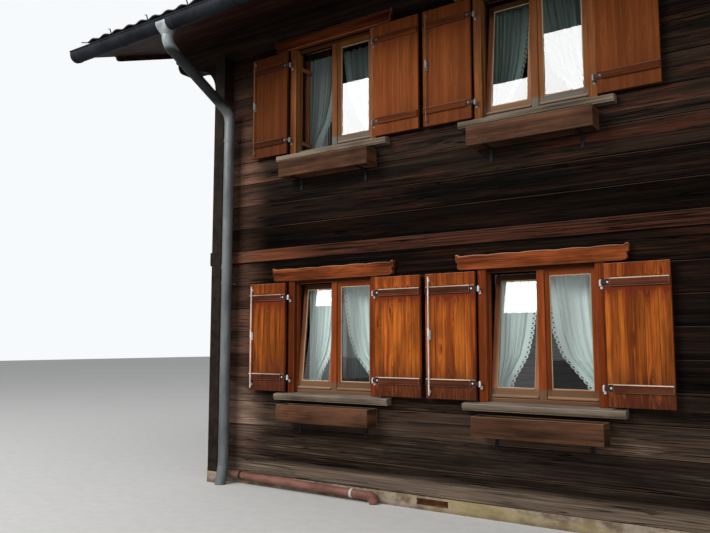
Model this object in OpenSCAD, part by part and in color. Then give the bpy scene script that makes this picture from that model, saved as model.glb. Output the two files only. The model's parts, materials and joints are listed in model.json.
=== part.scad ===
// Alpine chalet of squared logs on a low plinth: two storeys of eight window
// openings a long side, a shallow tiled roof on five purlins, zinc gutters and
// hinged plank shutters. Origin on the ground under the centre, front towards -Y.

/* [House] */
// Length along the eaves, over the wall faces
house_l = 11400; // [10800:100:13000]
// Depth from front wall face to back wall face
house_d = 8400; // [7600:100:10000]
// Height of the plinth above the ground
plinth_h = 120; // [80:10:200]
// Log courses in each storey
courses = 9; // [9:1:10]

/* [Logs] */
// Height of one squared log
log_h = 250; // [240:5:260]
// Thickness of a log
log_t = 150; // [140:5:170]
// Length of a log head past the corner
log_head = 150; // [100:10:220]
// Depth and height of the chamfer on each log edge
log_chamfer = 9; // [4:1:14]
// Height of the floor band between the storeys
band_h = 130; // [110:5:150]
// How far the floor band stands out of the wall
band_out = 25; // [10:5:40]

/* [Roof] */
// Rise of the roof for one unit of run
roof_slope = 0.376; // [0.32:0.01:0.45]
// Overhang of the roof boards at the eaves
eaves_out = 1000; // [900:10:1100]
// Overhang of the roof past each gable wall
verge_out = 1100; // [1000:10:1200]
// Width of a purlin
purlin_w = 150; // [140:5:150]
// Height of the purlins between eaves and ridge
purlin_h = 240; // [200:10:300]

/* [Windows] */
// Width of a window opening
window_w = 970; // [940:10:1000]
// Height of a shutter leaf
leaf_h = 1120; // [1100:10:1140]
// Width of a shutter leaf
leaf_w = 490; // [480:2:492]
// Height of the lower shutters above the ground
lower_sill = 1000; // [950:10:1100]
// Height of the upper shutters above the ground
upper_sill = 3507; // [3500:1:3520]
// Distance of the first window from the left corner
first_window = 1571; // [1500:1:1700]
// Distance between the first and the second window
window_step = 2151; // [2140:1:2300]

/* [Gutter] */
// Outer radius of the gutter
gutter_r = 80; // [70:1:90]
// Diameter of the downpipe
pipe_d = 110; // [90:5:120]

/* [Hidden] */
$fn = 48;

eps = 1;
half_l = house_l / 2;
half_d = house_d / 2;
in_l = house_l - 2 * log_t;
in_d = house_d - 2 * log_t;

// Heights of the storeys
band_z = plinth_h + courses * log_h;
upper_z = band_z + band_h;
plate_z = upper_z + courses * log_h;
floor_t = 30;

// The underside of the roof boarding, and the layers above it, square to the slope
soffit_z = plate_z + 360;
slope_a = atan(roof_slope);
soffit_t = 20;
rafter_h = 100;
board_t = 24;
tile_t = 45;
function soffit_at(y) = soffit_z + roof_slope * (half_d - abs(y));
function up_by(t) = t / cos(slope_a);
ridge_soffit = soffit_at(0);
roof_half_l = half_l + verge_out;
tile_out = eaves_out + 60;
barge_t = 30;

// Window parts, seen from outside: x from the middle, y into the house
glass_y = 51;
casing_out = 30;
casing_w = 65;
lintel_w = 1500;
lintel_h = 125;
lintel_gap = 20;
sill_w = 1380;
sill_gap = 10;
sill_h = 75;
opening_top = leaf_h + lintel_gap;
opening_low = -sill_gap - sill_h;
frame_y = 22;
lip_t = 12;
frame_back = 86;
post_w = 65;
sash_y = 36;
sash_t = 40;
sash_in = post_w / 2 - 5;
sash_out = window_w / 2 - 15;
stile_w = 47;
sash_low = 20;
sash_h = 1090;
rail_low = 90;
rail_top = 50;
pane_t = 6;
// How far the left sashes of the first two windows lean in, in the lower and the upper storey;
// the upper one by the corner is turned right back into the room instead
turned_back = 180;
tilts = [[5.5, 8.5], [turned_back, 7.2]];

// Shutters
hinge_x = 526;
hinge_y = -67.5;
hinge_gap = 32;
board_back = 19.5;
leaf_t = 30;
batten_t = 20;
batten_h = 66;
batten_low = 112;
batten_high = leaf_h - 182;
eye_r = 11;
eye_h = 36;
pin_r = 6;
pin_gap = 0.05;
strap_h = 52;
strap_l = 72;

// Places of the window columns on the long walls and on the gable walls
long_columns = [for (s = [-1, 1], k = [0, 1]) s * (half_l - first_window - k * window_step)];
gable_columns = [-half_d / 2, half_d / 2];
storeys = [lower_sill, upper_sill];
attic_window_z = plate_z + 330;
attic_w = 620;
attic_h = 620;
door_w = 1000;
door_h = 2050;

// Flower boxes
box_w = 1100;
box_d = 190;
box_h = 170;
box_drop = 45;
box_t = 14;
box_gap = 25;
soil_low = 25;

// Gutters and pipes, measured from the wall face and the ground
gutter_y = 1080;
gutter_low = plate_z - 60;
gutter_side = 30;
gutter_t = 3;
gutter_half_l = half_l + 1300;
pipe_x = half_l - 225;
pipe_y = 135;
neck_top_y = 1060;
neck_low_z = 4060;
neck_top_z = 4560;
bend_r = 150;

// A flat outline in the plane of x (along the wall) and z, pushed back along y
module outline_xz(depth) {
    rotate([90, 0, 0]) mirror([0, 0, 1]) linear_extrude(depth) children();
}

// A section in the plane of y and z, run along x and centred
module section_yz(length) {
    translate([-length / 2, 0, 0]) rotate([90, 0, 90]) linear_extrude(length) children();
}

// The four walls' own frames: x to the right seen from outside, y into the house
module at_front() { translate([0, -half_d, 0]) children(); }
module at_back() { translate([0, half_d, 0]) rotate([0, 0, 180]) children(); }
module at_left() { translate([-half_l, 0, 0]) rotate([0, 0, -90]) children(); }
module at_right() { translate([half_l, 0, 0]) rotate([0, 0, 90]) children(); }

// Window places
module front_windows() { at_front() for (x = long_columns, z = storeys) translate([x, 0, z]) children(); }
module back_windows() { at_back() for (x = long_columns, z = storeys) translate([x, 0, z]) children(); }
module gable_windows() {
    at_left() for (x = gable_columns, z = storeys) translate([x, 0, z]) children();
    at_right() for (x = gable_columns, z = storeys) translate([x, 0, z]) children();
}
module rear_windows() {
    back_windows() children();
    gable_windows() children();
}
module both_gables() {
    at_left() children();
    at_right() children();
}
module mirrored_y() {
    children();
    mirror([0, 1, 0]) children();
}
module mirrored_x() {
    children();
    mirror([1, 0, 0]) children();
}

// Outer edge of one log from z0 to z1: a flat face between two chamfers
function log_edge(z0, z1, out = 0) = [
    [log_chamfer - out, z0], [-out, z0 + log_chamfer],
    [-out, z1 - log_chamfer], [log_chamfer - out, z1]];

// Joint heights of a wall, its courses raised by shift
function joints(shift) = concat(
    shift > 0 ? [plinth_h] : [],
    [for (i = [0:courses - (shift > 0 ? 1 : 0)]) plinth_h + shift + i * log_h],
    shift > 0 ? [band_z] : []);
function storey_edge(rows, lift) = [for (i = [0:len(rows) - 2]) each log_edge(rows[i] + lift, rows[i + 1] + lift)];

function lower_edge(rows) = concat(storey_edge(rows, 0), log_edge(band_z, upper_z, band_out));
function upper_edge(rows) = storey_edge(rows, upper_z - plinth_h);
module wall_section(shift) {
    rows = joints(shift);
    polygon(concat(lower_edge(rows), upper_edge(rows), [[log_t, plate_z], [log_t, plinth_h]]));
}

// Gaps between the necks where the logs of two walls cross, so that each wall
// keeps the middle half of its logs and the other wall's logs fill the rest
necks = [for (i = [0:courses - 1], b = [plinth_h, upper_z]) b + i * log_h];

module front_notches() {
    q = log_h / 4;
    for (z = necks) {
        translate([0, 0, z - eps]) cube([log_t, log_t + band_out + eps, q + eps]);
        translate([0, 0, z + 3 * q]) cube([log_t, log_t + band_out + eps, q + eps]);
    }
    translate([0, 0, band_z + band_h / 2]) cube([log_t + band_out, log_t + band_out + eps, band_h / 2]);
}

module gable_notches() {
    q = log_h / 4;
    for (z = necks) translate([0, 0, z + q]) cube([log_t, log_t + band_out + eps, 2 * q]);
    translate([0, 0, band_z]) cube([log_t + band_out, log_t + band_out + eps, band_h / 2]);
}

module window_hole() {
    translate([-window_w / 2, -band_out - eps, opening_low])
        cube([window_w, log_t + band_out + 2 * eps, opening_top - opening_low]);
}

// A wall along the eaves, its log heads running past both corners
module long_wall() {
    length = house_l + 2 * log_head;
    difference() {
        section_yz(length) intersection() {
            wall_section(0);
            children();
        }
        for (x = long_columns, z = storeys) translate([x, 0, z]) window_hole();
        mirrored_x() translate([half_l - log_t, -band_out - eps, 0]) front_notches();
    }
}

// A gable wall, its courses half a log higher than those of the long walls
module gable_section() {
    polygon([
        [-half_d - log_head - eps, plinth_h], [half_d + log_head + eps, plinth_h],
        [half_d + log_head + eps, plate_z], [half_d - log_t, plate_z],
        [half_d - log_t, soffit_at(half_d - log_t)], [0, ridge_soffit],
        [-half_d + log_t, soffit_at(half_d - log_t)], [-half_d + log_t, plate_z],
        [-half_d - log_head - eps, plate_z]]);
}

// The rows of the gable above the plates, cut to the roof slope later
module gable_top_section() {
    n = ceil((ridge_soffit - plate_z) / log_h);
    polygon(concat(
        storey_edge([for (i = [0:n]) plate_z + i * log_h], 0),
        [[log_t, plate_z + n * log_h], [log_t, plate_z]]));
}

module gable_wall() {
    difference() {
        intersection() {
            union() {
                section_yz(house_d + 2 * log_head) wall_section(log_h / 2);
                section_yz(house_d - 2 * log_t) gable_top_section();
            }
            translate([0, -band_out - eps, 0]) outline_xz(log_t + band_out + 2 * eps) gable_section();
        }
        for (x = gable_columns, z = storeys) translate([x, 0, z]) window_hole();
        translate([-attic_w / 2, -eps, attic_window_z]) cube([attic_w, log_t + 2 * eps, attic_h]);
        mirrored_x() translate([half_d - log_t, -band_out - eps, 0]) gable_notches();
        for (y = [-half_d / 2, 0, half_d / 2])
            translate([y - purlin_w / 2, -eps, soffit_at(abs(y) + purlin_w / 2) - purlin_h])
                cube([purlin_w, log_t + 2 * eps, 2 * purlin_h]);
    }
}

// The slice of a wall's section between two heights
module between(z0, z1) { translate([-band_out, z0]) square([log_t + band_out, z1 - z0]); }
// The front wall's lower storey left of the middle, with half of the door's hole
module lower_half() {
    depth = log_t + band_out + 2 * eps;
    difference() {
        long_wall() between(plinth_h, band_z);
        translate([-door_w / 2, -band_out - eps, plinth_h - eps]) cube([door_w, depth, door_h + eps]);
        translate([0, -band_out - eps, 0]) cube([house_l, depth, upper_z]);
    }
}
module front_wall_left() { color("#3a2a22") at_front() lower_half(); }
module front_wall_right() { color("#3a2a22") at_front() mirror([1, 0, 0]) lower_half(); }
module front_band() { color("#3a2a22") at_front() long_wall() between(band_z, upper_z); }
module front_wall_upper() { color("#3a2a22") at_front() long_wall() between(upper_z, plate_z); }
module back_wall() { color("#3a2a22") at_back() long_wall() between(plinth_h, plate_z); }
module left_wall() { color("#35261f") at_left() gable_wall(); }
module right_wall() { color("#35261f") at_right() gable_wall(); }

// A plank wall along the middle of each storey, with a doorway
inner_t = 100;
inner_door = [900, 2000];
inner_door_x = 1600;
module inner_wall(z0, z1) {
    difference() {
        translate([-in_l / 2, -inner_t / 2, z0]) cube([in_l, inner_t, z1 - z0]);
        translate([inner_door_x, -inner_t, z0 - eps]) cube([inner_door[0], 2 * inner_t, inner_door[1] + eps]);
    }
}
module inner_walls() {
    color("#8a6a48") {
        inner_wall(plinth_h + floor_t, band_z);
        inner_wall(upper_z, plate_z);
    }
}

// Plinth under the walls and their log heads, with a slot for air
module foundation() {
    vent = [320, 120, 58];
    vent_x = long_columns[0] + 950;
    vent_z = 42;
    color("#8d8a84") difference() {
        union() {
            translate([-half_l, -half_d, 0]) cube([house_l, house_d, plinth_h]);
            mirrored_x() mirrored_y() {
                translate([half_l - log_t, half_d - log_t, 0]) cube([log_t + log_head, log_t, plinth_h]);
                translate([half_l - log_t, half_d - log_t, 0]) cube([log_t, log_t + log_head, plinth_h]);
            }
        }
        translate([vent_x, -half_d - eps, vent_z]) cube(vent);
    }
}

module floor_plate(z, t) {
    translate([-in_l / 2, -in_d / 2, z]) cube([in_l, in_d, t]);
}
module ground_floor() { color("#8a6a48") floor_plate(plinth_h, floor_t); }
module upper_floor() { color("#8a6a48") floor_plate(band_z, band_h); }
module attic_floor() { color("#8a6a48") floor_plate(plate_z, band_h); }

// Points of an arc around cx, cz from angle a0 to a1
function arc(cx, cz, r, a0, a1, n = 10) = [
    for (i = [0:n]) let (a = a0 + (a1 - a0) * i / n) [cx + r * cos(a), cz + r * sin(a)]];

// Ogee end of a timber of height h that runs to x: a hollow over a round, both of radius r
ogee_radius = 0.42;
ogee_length = 0.95;
function ogee_end(x, z, h, r) = concat(
    [[x - ogee_length * h, z]],
    arc(x - ogee_length * h, z + r, r, -90, 0),
    [[x - r, z + h / 2]],
    arc(x, z + h / 2, r, 180, 100),
    [[x, z + h]]);

module purlin_side(x, z, h, top) {
    right = ogee_end(x, z, h, ogee_radius * h);
    n = len(right);
    polygon(concat(right, [[x, z + top], [-x, z + top]], [for (i = [n - 1:-1:0]) [-right[i][0], right[i][1]]]));
}

purlin_end = half_l + verge_out - 110;
module purlin(y, z, h, ends) {
    intersection() {
        translate([0, y - purlin_w / 2, 0]) outline_xz(purlin_w) purlin_side(ends, z, h, 2 * h);
        section_yz(2 * ends) polygon([
            [-half_d, 0], [half_d, 0], [half_d, soffit_z], [0, ridge_soffit], [-half_d, soffit_z]]);
    }
}
mid_purlin_z = soffit_at(half_d / 2 + purlin_w / 2) - purlin_h;
ridge_purlin_z = soffit_at(purlin_w / 2) - purlin_h;
module purlins() {
    color("#33241d") {
        mirrored_y() purlin(-half_d + purlin_w / 2, plate_z, soffit_z - plate_z, purlin_end);
        mirrored_y() purlin(-half_d / 2, mid_purlin_z, purlin_h, purlin_end);
        purlin(0, ridge_purlin_z, purlin_h, purlin_end);
    }
}

// Curved brackets under the purlins, at the gable walls and on the corner heads
bracket_h = 280;
bracket_reach = 480;
corner_reach = 330;
module bracket_side(x0, reach) {
    polygon(concat([[x0, 0], [x0, -bracket_h]],
        [for (a = [0:7.5:90]) [x0 + reach * (1 - cos(a)), bracket_h * (sin(a) - 1)]]));
}
module bracket(y, z, x0, reach) {
    mirrored_x() translate([0, y - purlin_w / 2, z]) outline_xz(purlin_w) bracket_side(x0, reach);
}
module purlin_brackets() {
    color("#33241d") {
        mirrored_y() bracket(-half_d + purlin_w / 2, plate_z, half_l + log_head, corner_reach);
        mirrored_y() bracket(-half_d / 2, mid_purlin_z, half_l, bracket_reach);
        bracket(0, ridge_purlin_z, half_l, bracket_reach);
    }
}

// One layer of the roof, a slab along the slope from the eaves to a small gap at the ridge
module roof_layer(base, t, out, length) {
    gap = 2;
    y0 = -half_d - out;
    section_yz(length) polygon([
        [y0, soffit_at(y0) + up_by(base)],
        [-gap, soffit_at(gap) + up_by(base)],
        [-gap, soffit_at(gap) + up_by(base + t)],
        [y0, soffit_at(y0) + up_by(base + t)]]);
}
module soffit_boards() {
    color("#6b3f2c") mirrored_y() roof_layer(0, soffit_t, eaves_out, 2 * roof_half_l);
}
rafter_n = 13;
rafter_w = 90;
module rafters() {
    step = (2 * roof_half_l - rafter_w) / (rafter_n - 1);
    color("#6b4a33") mirrored_y() for (i = [0:rafter_n - 1])
        translate([-roof_half_l + rafter_w / 2 + i * step, 0, 0]) roof_layer(soffit_t, rafter_h, eaves_out, rafter_w);
}
module roof_boards() {
    color("#6b4a33") mirrored_y() roof_layer(soffit_t + rafter_h, board_t, eaves_out, 2 * roof_half_l);
}
module roof_tiles() {
    roof_layer(soffit_t + rafter_h + board_t, tile_t, tile_out, 2 * (roof_half_l + barge_t + 20));
}
module front_roof_tiles() { color("#4b4742") roof_tiles(); }
module back_roof_tiles() { color("#4b4742") mirror([0, 1, 0]) roof_tiles(); }
roof_top = ridge_soffit + up_by(soffit_t + rafter_h + board_t + tile_t);
ridge_r = 130;
ridge_sunk = 70;
ridge_gap = 0.5;
module ridge_tiles() {
    cut = ridge_r + 70;
    low = roof_top + ridge_gap - cut * roof_slope;
    color("#4b4742") difference() {
        translate([0, 0, roof_top - ridge_sunk]) rotate([0, 90, 0])
            cylinder(r = ridge_r, h = 2 * (roof_half_l + barge_t + 20), center = true);
        section_yz(3 * half_l) polygon([
            [-cut, 0], [cut, 0], [cut, low], [0, roof_top + ridge_gap], [-cut, low]]);
    }
}

// Barge boards at the verges: their foot has a round and two steps
barge_drop = 55;
barge_foot = 700;
foot_round = 40;
foot_step = 20;
module barge_side() {
    y1 = -half_d - barge_foot;
    y2 = y1 + foot_round + foot_step;
    y3 = y2 + 50;
    t = up_by(soffit_t + rafter_h + board_t);
    low = soffit_at(y1) - barge_drop;
    ridge_y = -2;
    polygon(concat(
        [[y1, soffit_at(y1) + t]],
        arc(y1, low + 35, foot_round, 90, 0, 6),
        [[y2, low + 35], [y2, low + 27], [y3, soffit_at(y3) - barge_drop]],
        [[ridge_y, soffit_at(ridge_y) - barge_drop], [ridge_y, soffit_at(ridge_y) + t]]));
}
module barge_boards() {
    color("#4a3026") mirrored_y() mirrored_x() translate([roof_half_l + barge_t / 2, 0, 0]) section_yz(barge_t) barge_side();
}

// Half round gutters with stop ends
module gutter_shape(r, side) {
    union() {
        intersection() {
            circle(r);
            translate([-r, -r]) square([2 * r, r]);
        }
        translate([-r, 0]) square([2 * r, side]);
    }
}
module gutter() {
    bead_r = 9;
    translate([0, -half_d - gutter_y, gutter_low + gutter_r]) {
        difference() {
            section_yz(2 * gutter_half_l) gutter_shape(gutter_r, gutter_side);
            section_yz(2 * (gutter_half_l - gutter_t)) gutter_shape(gutter_r - gutter_t, gutter_side + eps);
        }
        translate([0, -gutter_r, gutter_side]) rotate([0, 90, 0])
            cylinder(r = bead_r, h = 2 * gutter_half_l, center = true);
    }
}
module gutters() { color("#8f9596") mirrored_y() gutter(); }

// Downpipes in the left corners, front and back, with one joint collar each
collar_z = 2300;
collar_h = 60;
collar_step = 8;
// The shoe at the foot: a wider socket that leans out from the wall
shoe_z = 190;
shoe_lean = 12;
shoe_socket = 34;
module at_pipe() { mirrored_y() translate([-pipe_x, -half_d, 0]) children(); }
module downpipes() {
    color("#8f9596") at_pipe() translate([0, -pipe_y, 0]) {
        translate([0, 0, shoe_z]) cylinder(d = pipe_d, h = neck_low_z - bend_r * tan(neck_turn / 2) - shoe_z);
        translate([0, 0, shoe_z]) cylinder(d = pipe_d + socket, h = shoe_socket);
        translate([0, 0, shoe_z]) sphere(d = pipe_d + socket);
        difference() {
            translate([0, 0, shoe_z]) rotate([-shoe_lean, 0, 0])
                translate([0, 0, -1.3 * shoe_z]) cylinder(d = pipe_d + socket, h = 1.3 * shoe_z);
            translate([-shoe_z, -2 * shoe_z, -shoe_z]) cube([2 * shoe_z, 4 * shoe_z, shoe_z]);
        }
        translate([0, 0, collar_z]) cylinder(d = pipe_d + collar_step, h = collar_h);
    }
}
// The swan neck between the gutter outlet and the downpipe
neck_run = neck_top_y - pipe_y;
neck_rise = neck_top_z - neck_low_z;
neck_tilt = atan(neck_rise / neck_run);
neck_turn = 90 - neck_tilt;
neck_len = sqrt(neck_run * neck_run + neck_rise * neck_rise);
// An elbow with sockets a little wider than the pipe: it starts at the origin
// going up and bends towards -y
socket = 6;
module pipe_bend(turn) {
    translate([0, -bend_r, 0]) rotate([0, 0, 90]) rotate([90, 0, 0])
        rotate_extrude(angle = turn) translate([bend_r, 0]) circle(d = pipe_d + socket);
}
module swan_necks() {
    cut = bend_r * tan(neck_turn / 2);
    color("#8f9596") at_pipe() {
        translate([0, -pipe_y, neck_low_z - cut]) pipe_bend(neck_turn);
        translate([0, -pipe_y, neck_low_z]) rotate([90 - neck_tilt, 0, 0])
            translate([0, 0, cut]) cylinder(d = pipe_d, h = neck_len - 2 * cut);
        translate([0, -neck_top_y, neck_top_z + cut]) mirror([0, 1, 0]) mirror([0, 0, 1]) pipe_bend(neck_turn);
        gutter_outlet(neck_top_z + cut);
    }
}
// The outlet from height z up: a funnel that ends in a saddle round the gutter
module gutter_outlet(z) {
    saddle_gap = 0.3;
    saddle_t = 4;
    saddle_l = 138;
    throat_h = 6;
    difference() {
        hull() {
            translate([0, -neck_top_y, z]) cylinder(d = pipe_d + socket, h = throat_h);
            translate([0, -gutter_y, gutter_low + gutter_r]) rotate([0, 90, 0])
                cylinder(r = gutter_r + saddle_gap + saddle_t, h = saddle_l, center = true);
        }
        translate([0, -gutter_y, gutter_low + gutter_r]) rotate([0, 90, 0])
            cylinder(r = gutter_r + saddle_gap, h = 2 * saddle_l, center = true);
        translate([-saddle_l, -gutter_y - 2 * gutter_r, gutter_low + gutter_r])
            cube([2 * saddle_l, 4 * gutter_r, gutter_r + saddle_l]);
        translate([-saddle_l, -eaves_out - eps, gutter_low + gutter_r / 4]) cube([2 * saddle_l, gutter_r, 2 * gutter_r]);
    }
}
clip_heights = [430, 2130, 3730];
module pipe_clips() {
    ring_h = 32;
    stem = [16, pipe_y, 20];
    color("#a9adad") at_pipe() for (z = clip_heights) translate([0, 0, z]) difference() {
        union() {
            translate([0, -pipe_y, 0]) cylinder(d = pipe_d + collar_step, h = ring_h);
            translate([-stem[0] / 2, -pipe_y, (ring_h - stem[2]) / 2]) cube(stem);
        }
        translate([0, -pipe_y, -eps]) cylinder(d = pipe_d, h = ring_h + 2 * eps);
    }
}

// Low earthenware pipe along the foot of the front wall, falling to the right
// and turning down into the ground, with wider sockets on its elbow
low_pipe_d = 78;
low_pipe_y = -60;
low_pipe_fall = 32;
low_pipe_z = 72;
elbow_r = 54;
module drain_pipe() {
    x0 = -half_l + 290;
    x1 = long_columns[0] + 470;
    run = x1 - x0;
    a = atan(low_pipe_fall / run);
    lap = 6;
    elbow_d = low_pipe_d + 12;
    hook_d = low_pipe_d + 10;
    hook_w = 16;
    hook_ring = 24;
    color("#5f2f22") at_front() translate([0, low_pipe_y, 0]) {
        translate([x1 + lap, 0, low_pipe_z - lap * tan(a)]) rotate([0, -90 + a, 0])
            cylinder(d = low_pipe_d, h = (run + lap) / cos(a));
        translate([x1, 0, low_pipe_z - elbow_r]) rotate([90, 0, 0])
            rotate_extrude(angle = 90) translate([elbow_r, 0]) circle(d = elbow_d);
        translate([x1 + elbow_r, 0, 0]) cylinder(d = low_pipe_d, h = low_pipe_z - elbow_r + lap);
        for (x = [x0 + 130, x1 - 190]) translate([x, 0, low_pipe_z + low_pipe_fall * (x1 - x) / run]) {
            rotate([0, -90 + a, 0]) cylinder(d = hook_d, h = hook_ring, center = true);
            translate([-hook_w / 2, 0, -hook_w / 2]) cube([hook_w, -low_pipe_y, hook_w]);
        }
    }
}

// Two side casings with the lining of the reveal
module casing() {
    lining = 12;
    mirrored_x() translate([0, 0, -sill_gap]) {
        translate([window_w / 2 - lining, -casing_out, 0]) cube([casing_w + lining, casing_out, opening_top + sill_gap]);
        translate([window_w / 2 - lining, -eps, 0]) cube([lining, frame_y + eps, opening_top + sill_gap]);
    }
}

// Carved lintel board: a scalloped top edge, and ends with a horn over an ogee
lintel_t = 60;
horn_h = 14;
horn_w = 20;
scallop_h = 7;
scallops = 2.6;
module lintel_side() {
    w = lintel_w / 2;
    h = lintel_h;
    belly = 26;
    hollow = 22;
    edge_w = w - 2 * horn_w;
    steps = 16;
    half = concat(
        [[w - 2 * belly, 0]],
        arc(w - 42, belly + 4, belly, -90, 10, 6),
        arc(w, belly + hollow + 4, hollow, 200, 100, 5),
        [[w, h + horn_h - 2], [w - horn_w, h + horn_h]],
        [for (i = [0:steps]) [
            edge_w * (1 - i / steps),
            h - scallop_h / 2 + scallop_h * abs(sin(scallops * 180 * i / steps))]]);
    n = len(half);
    polygon(concat(half, [for (i = [n - 2:-1:0]) [-half[i][0], half[i][1]]]));
}
module lintel() {
    translate([0, -lintel_t, opening_top]) outline_xz(lintel_t) lintel_side();
}

// Sill board: a nose with a sloping top, and a part in the reveal under the frame
sill_out = 95;
sill_fall = 18;
sill_lip = 12;
module sill() {
    translate([-sill_w / 2, 0, -sill_gap]) rotate([90, 0, 90]) linear_extrude(sill_w) polygon([
        [0, 0], [0, -sill_h], [-sill_out + 10, -sill_h], [-sill_out + 10, -sill_h + sill_lip],
        [-sill_out, -sill_h + sill_lip], [-sill_out, -sill_fall]]);
    translate([-window_w / 2, -eps, -sill_gap - sill_h]) cube([window_w, frame_back + eps, sill_h]);
}

module ring_box(x0, x1, z0, z1, y, t, side, low, top) {
    difference() {
        translate([x0, y, z0]) cube([x1 - x0, t, z1 - z0]);
        translate([x0 + side, y - eps, z0 + low]) cube([x1 - x0 - 2 * side, t + 2 * eps, z1 - z0 - low - top]);
    }
}

// Fixed frame with a middle post; a lip outside covers the sashes' edges
lip_side = 20;
lip_rail = 35;
back_side = 12;
back_rail = 18;
sash_play = 3;
module window_frame() {
    w = window_w / 2;
    z0 = -sill_gap;
    z1 = opening_top;
    depth = frame_back - frame_y;
    post_back = 2 * (sash_in - sash_play);
    ring_box(-w, w, z0, z1, frame_y, lip_t, lip_side, lip_rail, lip_rail);
    ring_box(-w, w, z0, z1, frame_y, depth, back_side, back_rail, back_rail);
    translate([-post_w / 2, frame_y, z0]) cube([post_w, lip_t, z1 - z0]);
    translate([-post_back / 2, frame_y, z0]) cube([post_back, depth, z1 - z0]);
}

module tilted(angle) {
    translate([0, sash_y, sash_low]) rotate([-angle, 0, 0]) translate([0, -sash_y, -sash_low]) children();
}
module sash() {
    ring_box(sash_in, sash_out, sash_low, sash_low + sash_h, sash_y, sash_t, stile_w, rail_low, rail_top);
}
module pane() {
    translate([sash_in + stile_w, glass_y - pane_t / 2, sash_low + rail_low])
        cube([sash_out - sash_in - 2 * stile_w, pane_t, sash_h - rail_low - rail_top]);
}
// A left leaf turned back on pins at the room's corner of the reveal
back_pin = [-window_w / 2 - 1.5, log_t + 2.5];
module turned() { translate([2 * back_pin[0], 2 * back_pin[1], 0]) rotate(180) children(); }
// Two cranked arms that carry it from the fixed frame
arm_t = 12;
arm_h = 40;
arm_play = 0.5;
module cranked_arms() {
    x = -window_w / 2 + arm_play;
    leaf_x = 2 * back_pin[0] + sash_out;
    leaf_y = 2 * back_pin[1] - sash_y - sash_t / 2;
    for (z = [sash_low + rail_low, sash_low + sash_h - 2 * rail_low]) translate([0, 0, z]) {
        translate([x, frame_back, 0]) cube([arm_t, leaf_y - frame_back, arm_h]);
        translate([leaf_x - arm_t, leaf_y - arm_t, 0]) cube([x + 2 * arm_t - leaf_x, arm_t, arm_h]);
    }
}
// A left leaf leaning inwards by tilt, or turned back
module left_leaf(tilt) {
    if (tilt == turned_back) turned() mirror([1, 0, 0]) children();
    else tilted(tilt) mirror([1, 0, 0]) children();
}
module pair(tilt = 0) {
    children();
    left_leaf(tilt) children();
}
function tilt_of(x, z) = let (k = search(x, [long_columns[0], long_columns[1]]))
    len(k) == 0 ? 0 : tilts[z == lower_sill ? 0 : 1][k[0]];

module front_casings() { color("#8a4a26") front_windows() casing(); }
module front_lintels() { color("#8a4a26") front_windows() lintel(); }
module front_sills() { color("#8b8175") front_windows() sill(); }
module front_frames() { color("#9a6234") front_windows() window_frame(); }
// All sashes but the four left ones that stand open
module front_sashes() {
    color("#9a6234") at_front() for (x = long_columns, z = storeys) translate([x, 0, z]) {
        sash();
        if (tilt_of(x, z) == 0) mirror([1, 0, 0]) sash();
    }
}
module open_sash(column, storey) {
    tilt = tilts[storey][column];
    color("#9a6234") at_front() translate([long_columns[column], 0, storeys[storey]]) {
        left_leaf(tilt) sash();
        if (tilt == turned_back) cranked_arms();
    }
}
module lower_window_1_left_sash() { open_sash(0, 0); }
module lower_window_2_left_sash() { open_sash(1, 0); }
module upper_window_1_left_sash() { open_sash(0, 1); }
module upper_window_2_left_sash() { open_sash(1, 1); }
module front_glass() {
    color("#cfdde0") at_front() for (x = long_columns, z = storeys) translate([x, 0, z]) pair(tilt_of(x, z)) pane();
}

// Attic windows, one small light in each gable
attic_board = 70;
attic_board_t = 25;
attic_bar = 50;
module attic_place() { both_gables() translate([0, 0, attic_window_z]) children(); }
module attic_casing() {
    b = attic_board;
    ring_box(-attic_w / 2 - b, attic_w / 2 + b, -b, attic_h + b, -attic_board_t, attic_board_t, b, b, b);
}
module attic_frame() {
    b = attic_bar;
    ring_box(-attic_w / 2, attic_w / 2, 0, attic_h, attic_board_t, b, b, b, b);
}
module attic_pane() {
    translate([-attic_w / 2 + attic_bar, attic_board_t + attic_bar / 2 - pane_t / 2, attic_bar])
        cube([attic_w - 2 * attic_bar, pane_t, attic_h - 2 * attic_bar]);
}
module rear_casings() {
    color("#8a4a26") {
        rear_windows() casing();
        attic_place() attic_casing();
    }
}
module rear_lintels() { color("#8a4a26") rear_windows() lintel(); }
module rear_sills() { color("#8b8175") rear_windows() sill(); }
module rear_frames() {
    color("#9a6234") {
        rear_windows() window_frame();
        attic_place() attic_frame();
    }
}
module rear_sashes() { color("#9a6234") rear_windows() pair() sash(); }
module rear_glass() {
    color("#cfdde0") {
        rear_windows() pair() pane();
        attic_place() attic_pane();
    }
}

// A shutter leaf lying open to the right of its hinge, which is the origin;
// the wall is towards +y, the battens are on the side seen when open
board_joints = [0.2, 0.41, 0.6, 0.81];
groove = 4;
module leaf_plan(both_sides) {
    x0 = hinge_gap;
    y0 = leaf_front;
    xs = [for (f = board_joints) x0 + f * leaf_w];
    n = len(xs);
    polygon(concat(
        [[x0, y0]],
        [for (x = xs) each [[x - groove, y0], [x, y0 + groove], [x + groove, y0]]],
        [[x0 + leaf_w, y0], [x0 + leaf_w, board_back]],
        both_sides ? [for (i = [n - 1:-1:0]) each [
            [xs[i] + groove, board_back], [xs[i], board_back - groove], [xs[i] - groove, board_back]]] : [],
        [[x0, board_back]]));
}
hinge_heights = [batten_low + batten_h / 2, batten_high + batten_h / 2];

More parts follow.
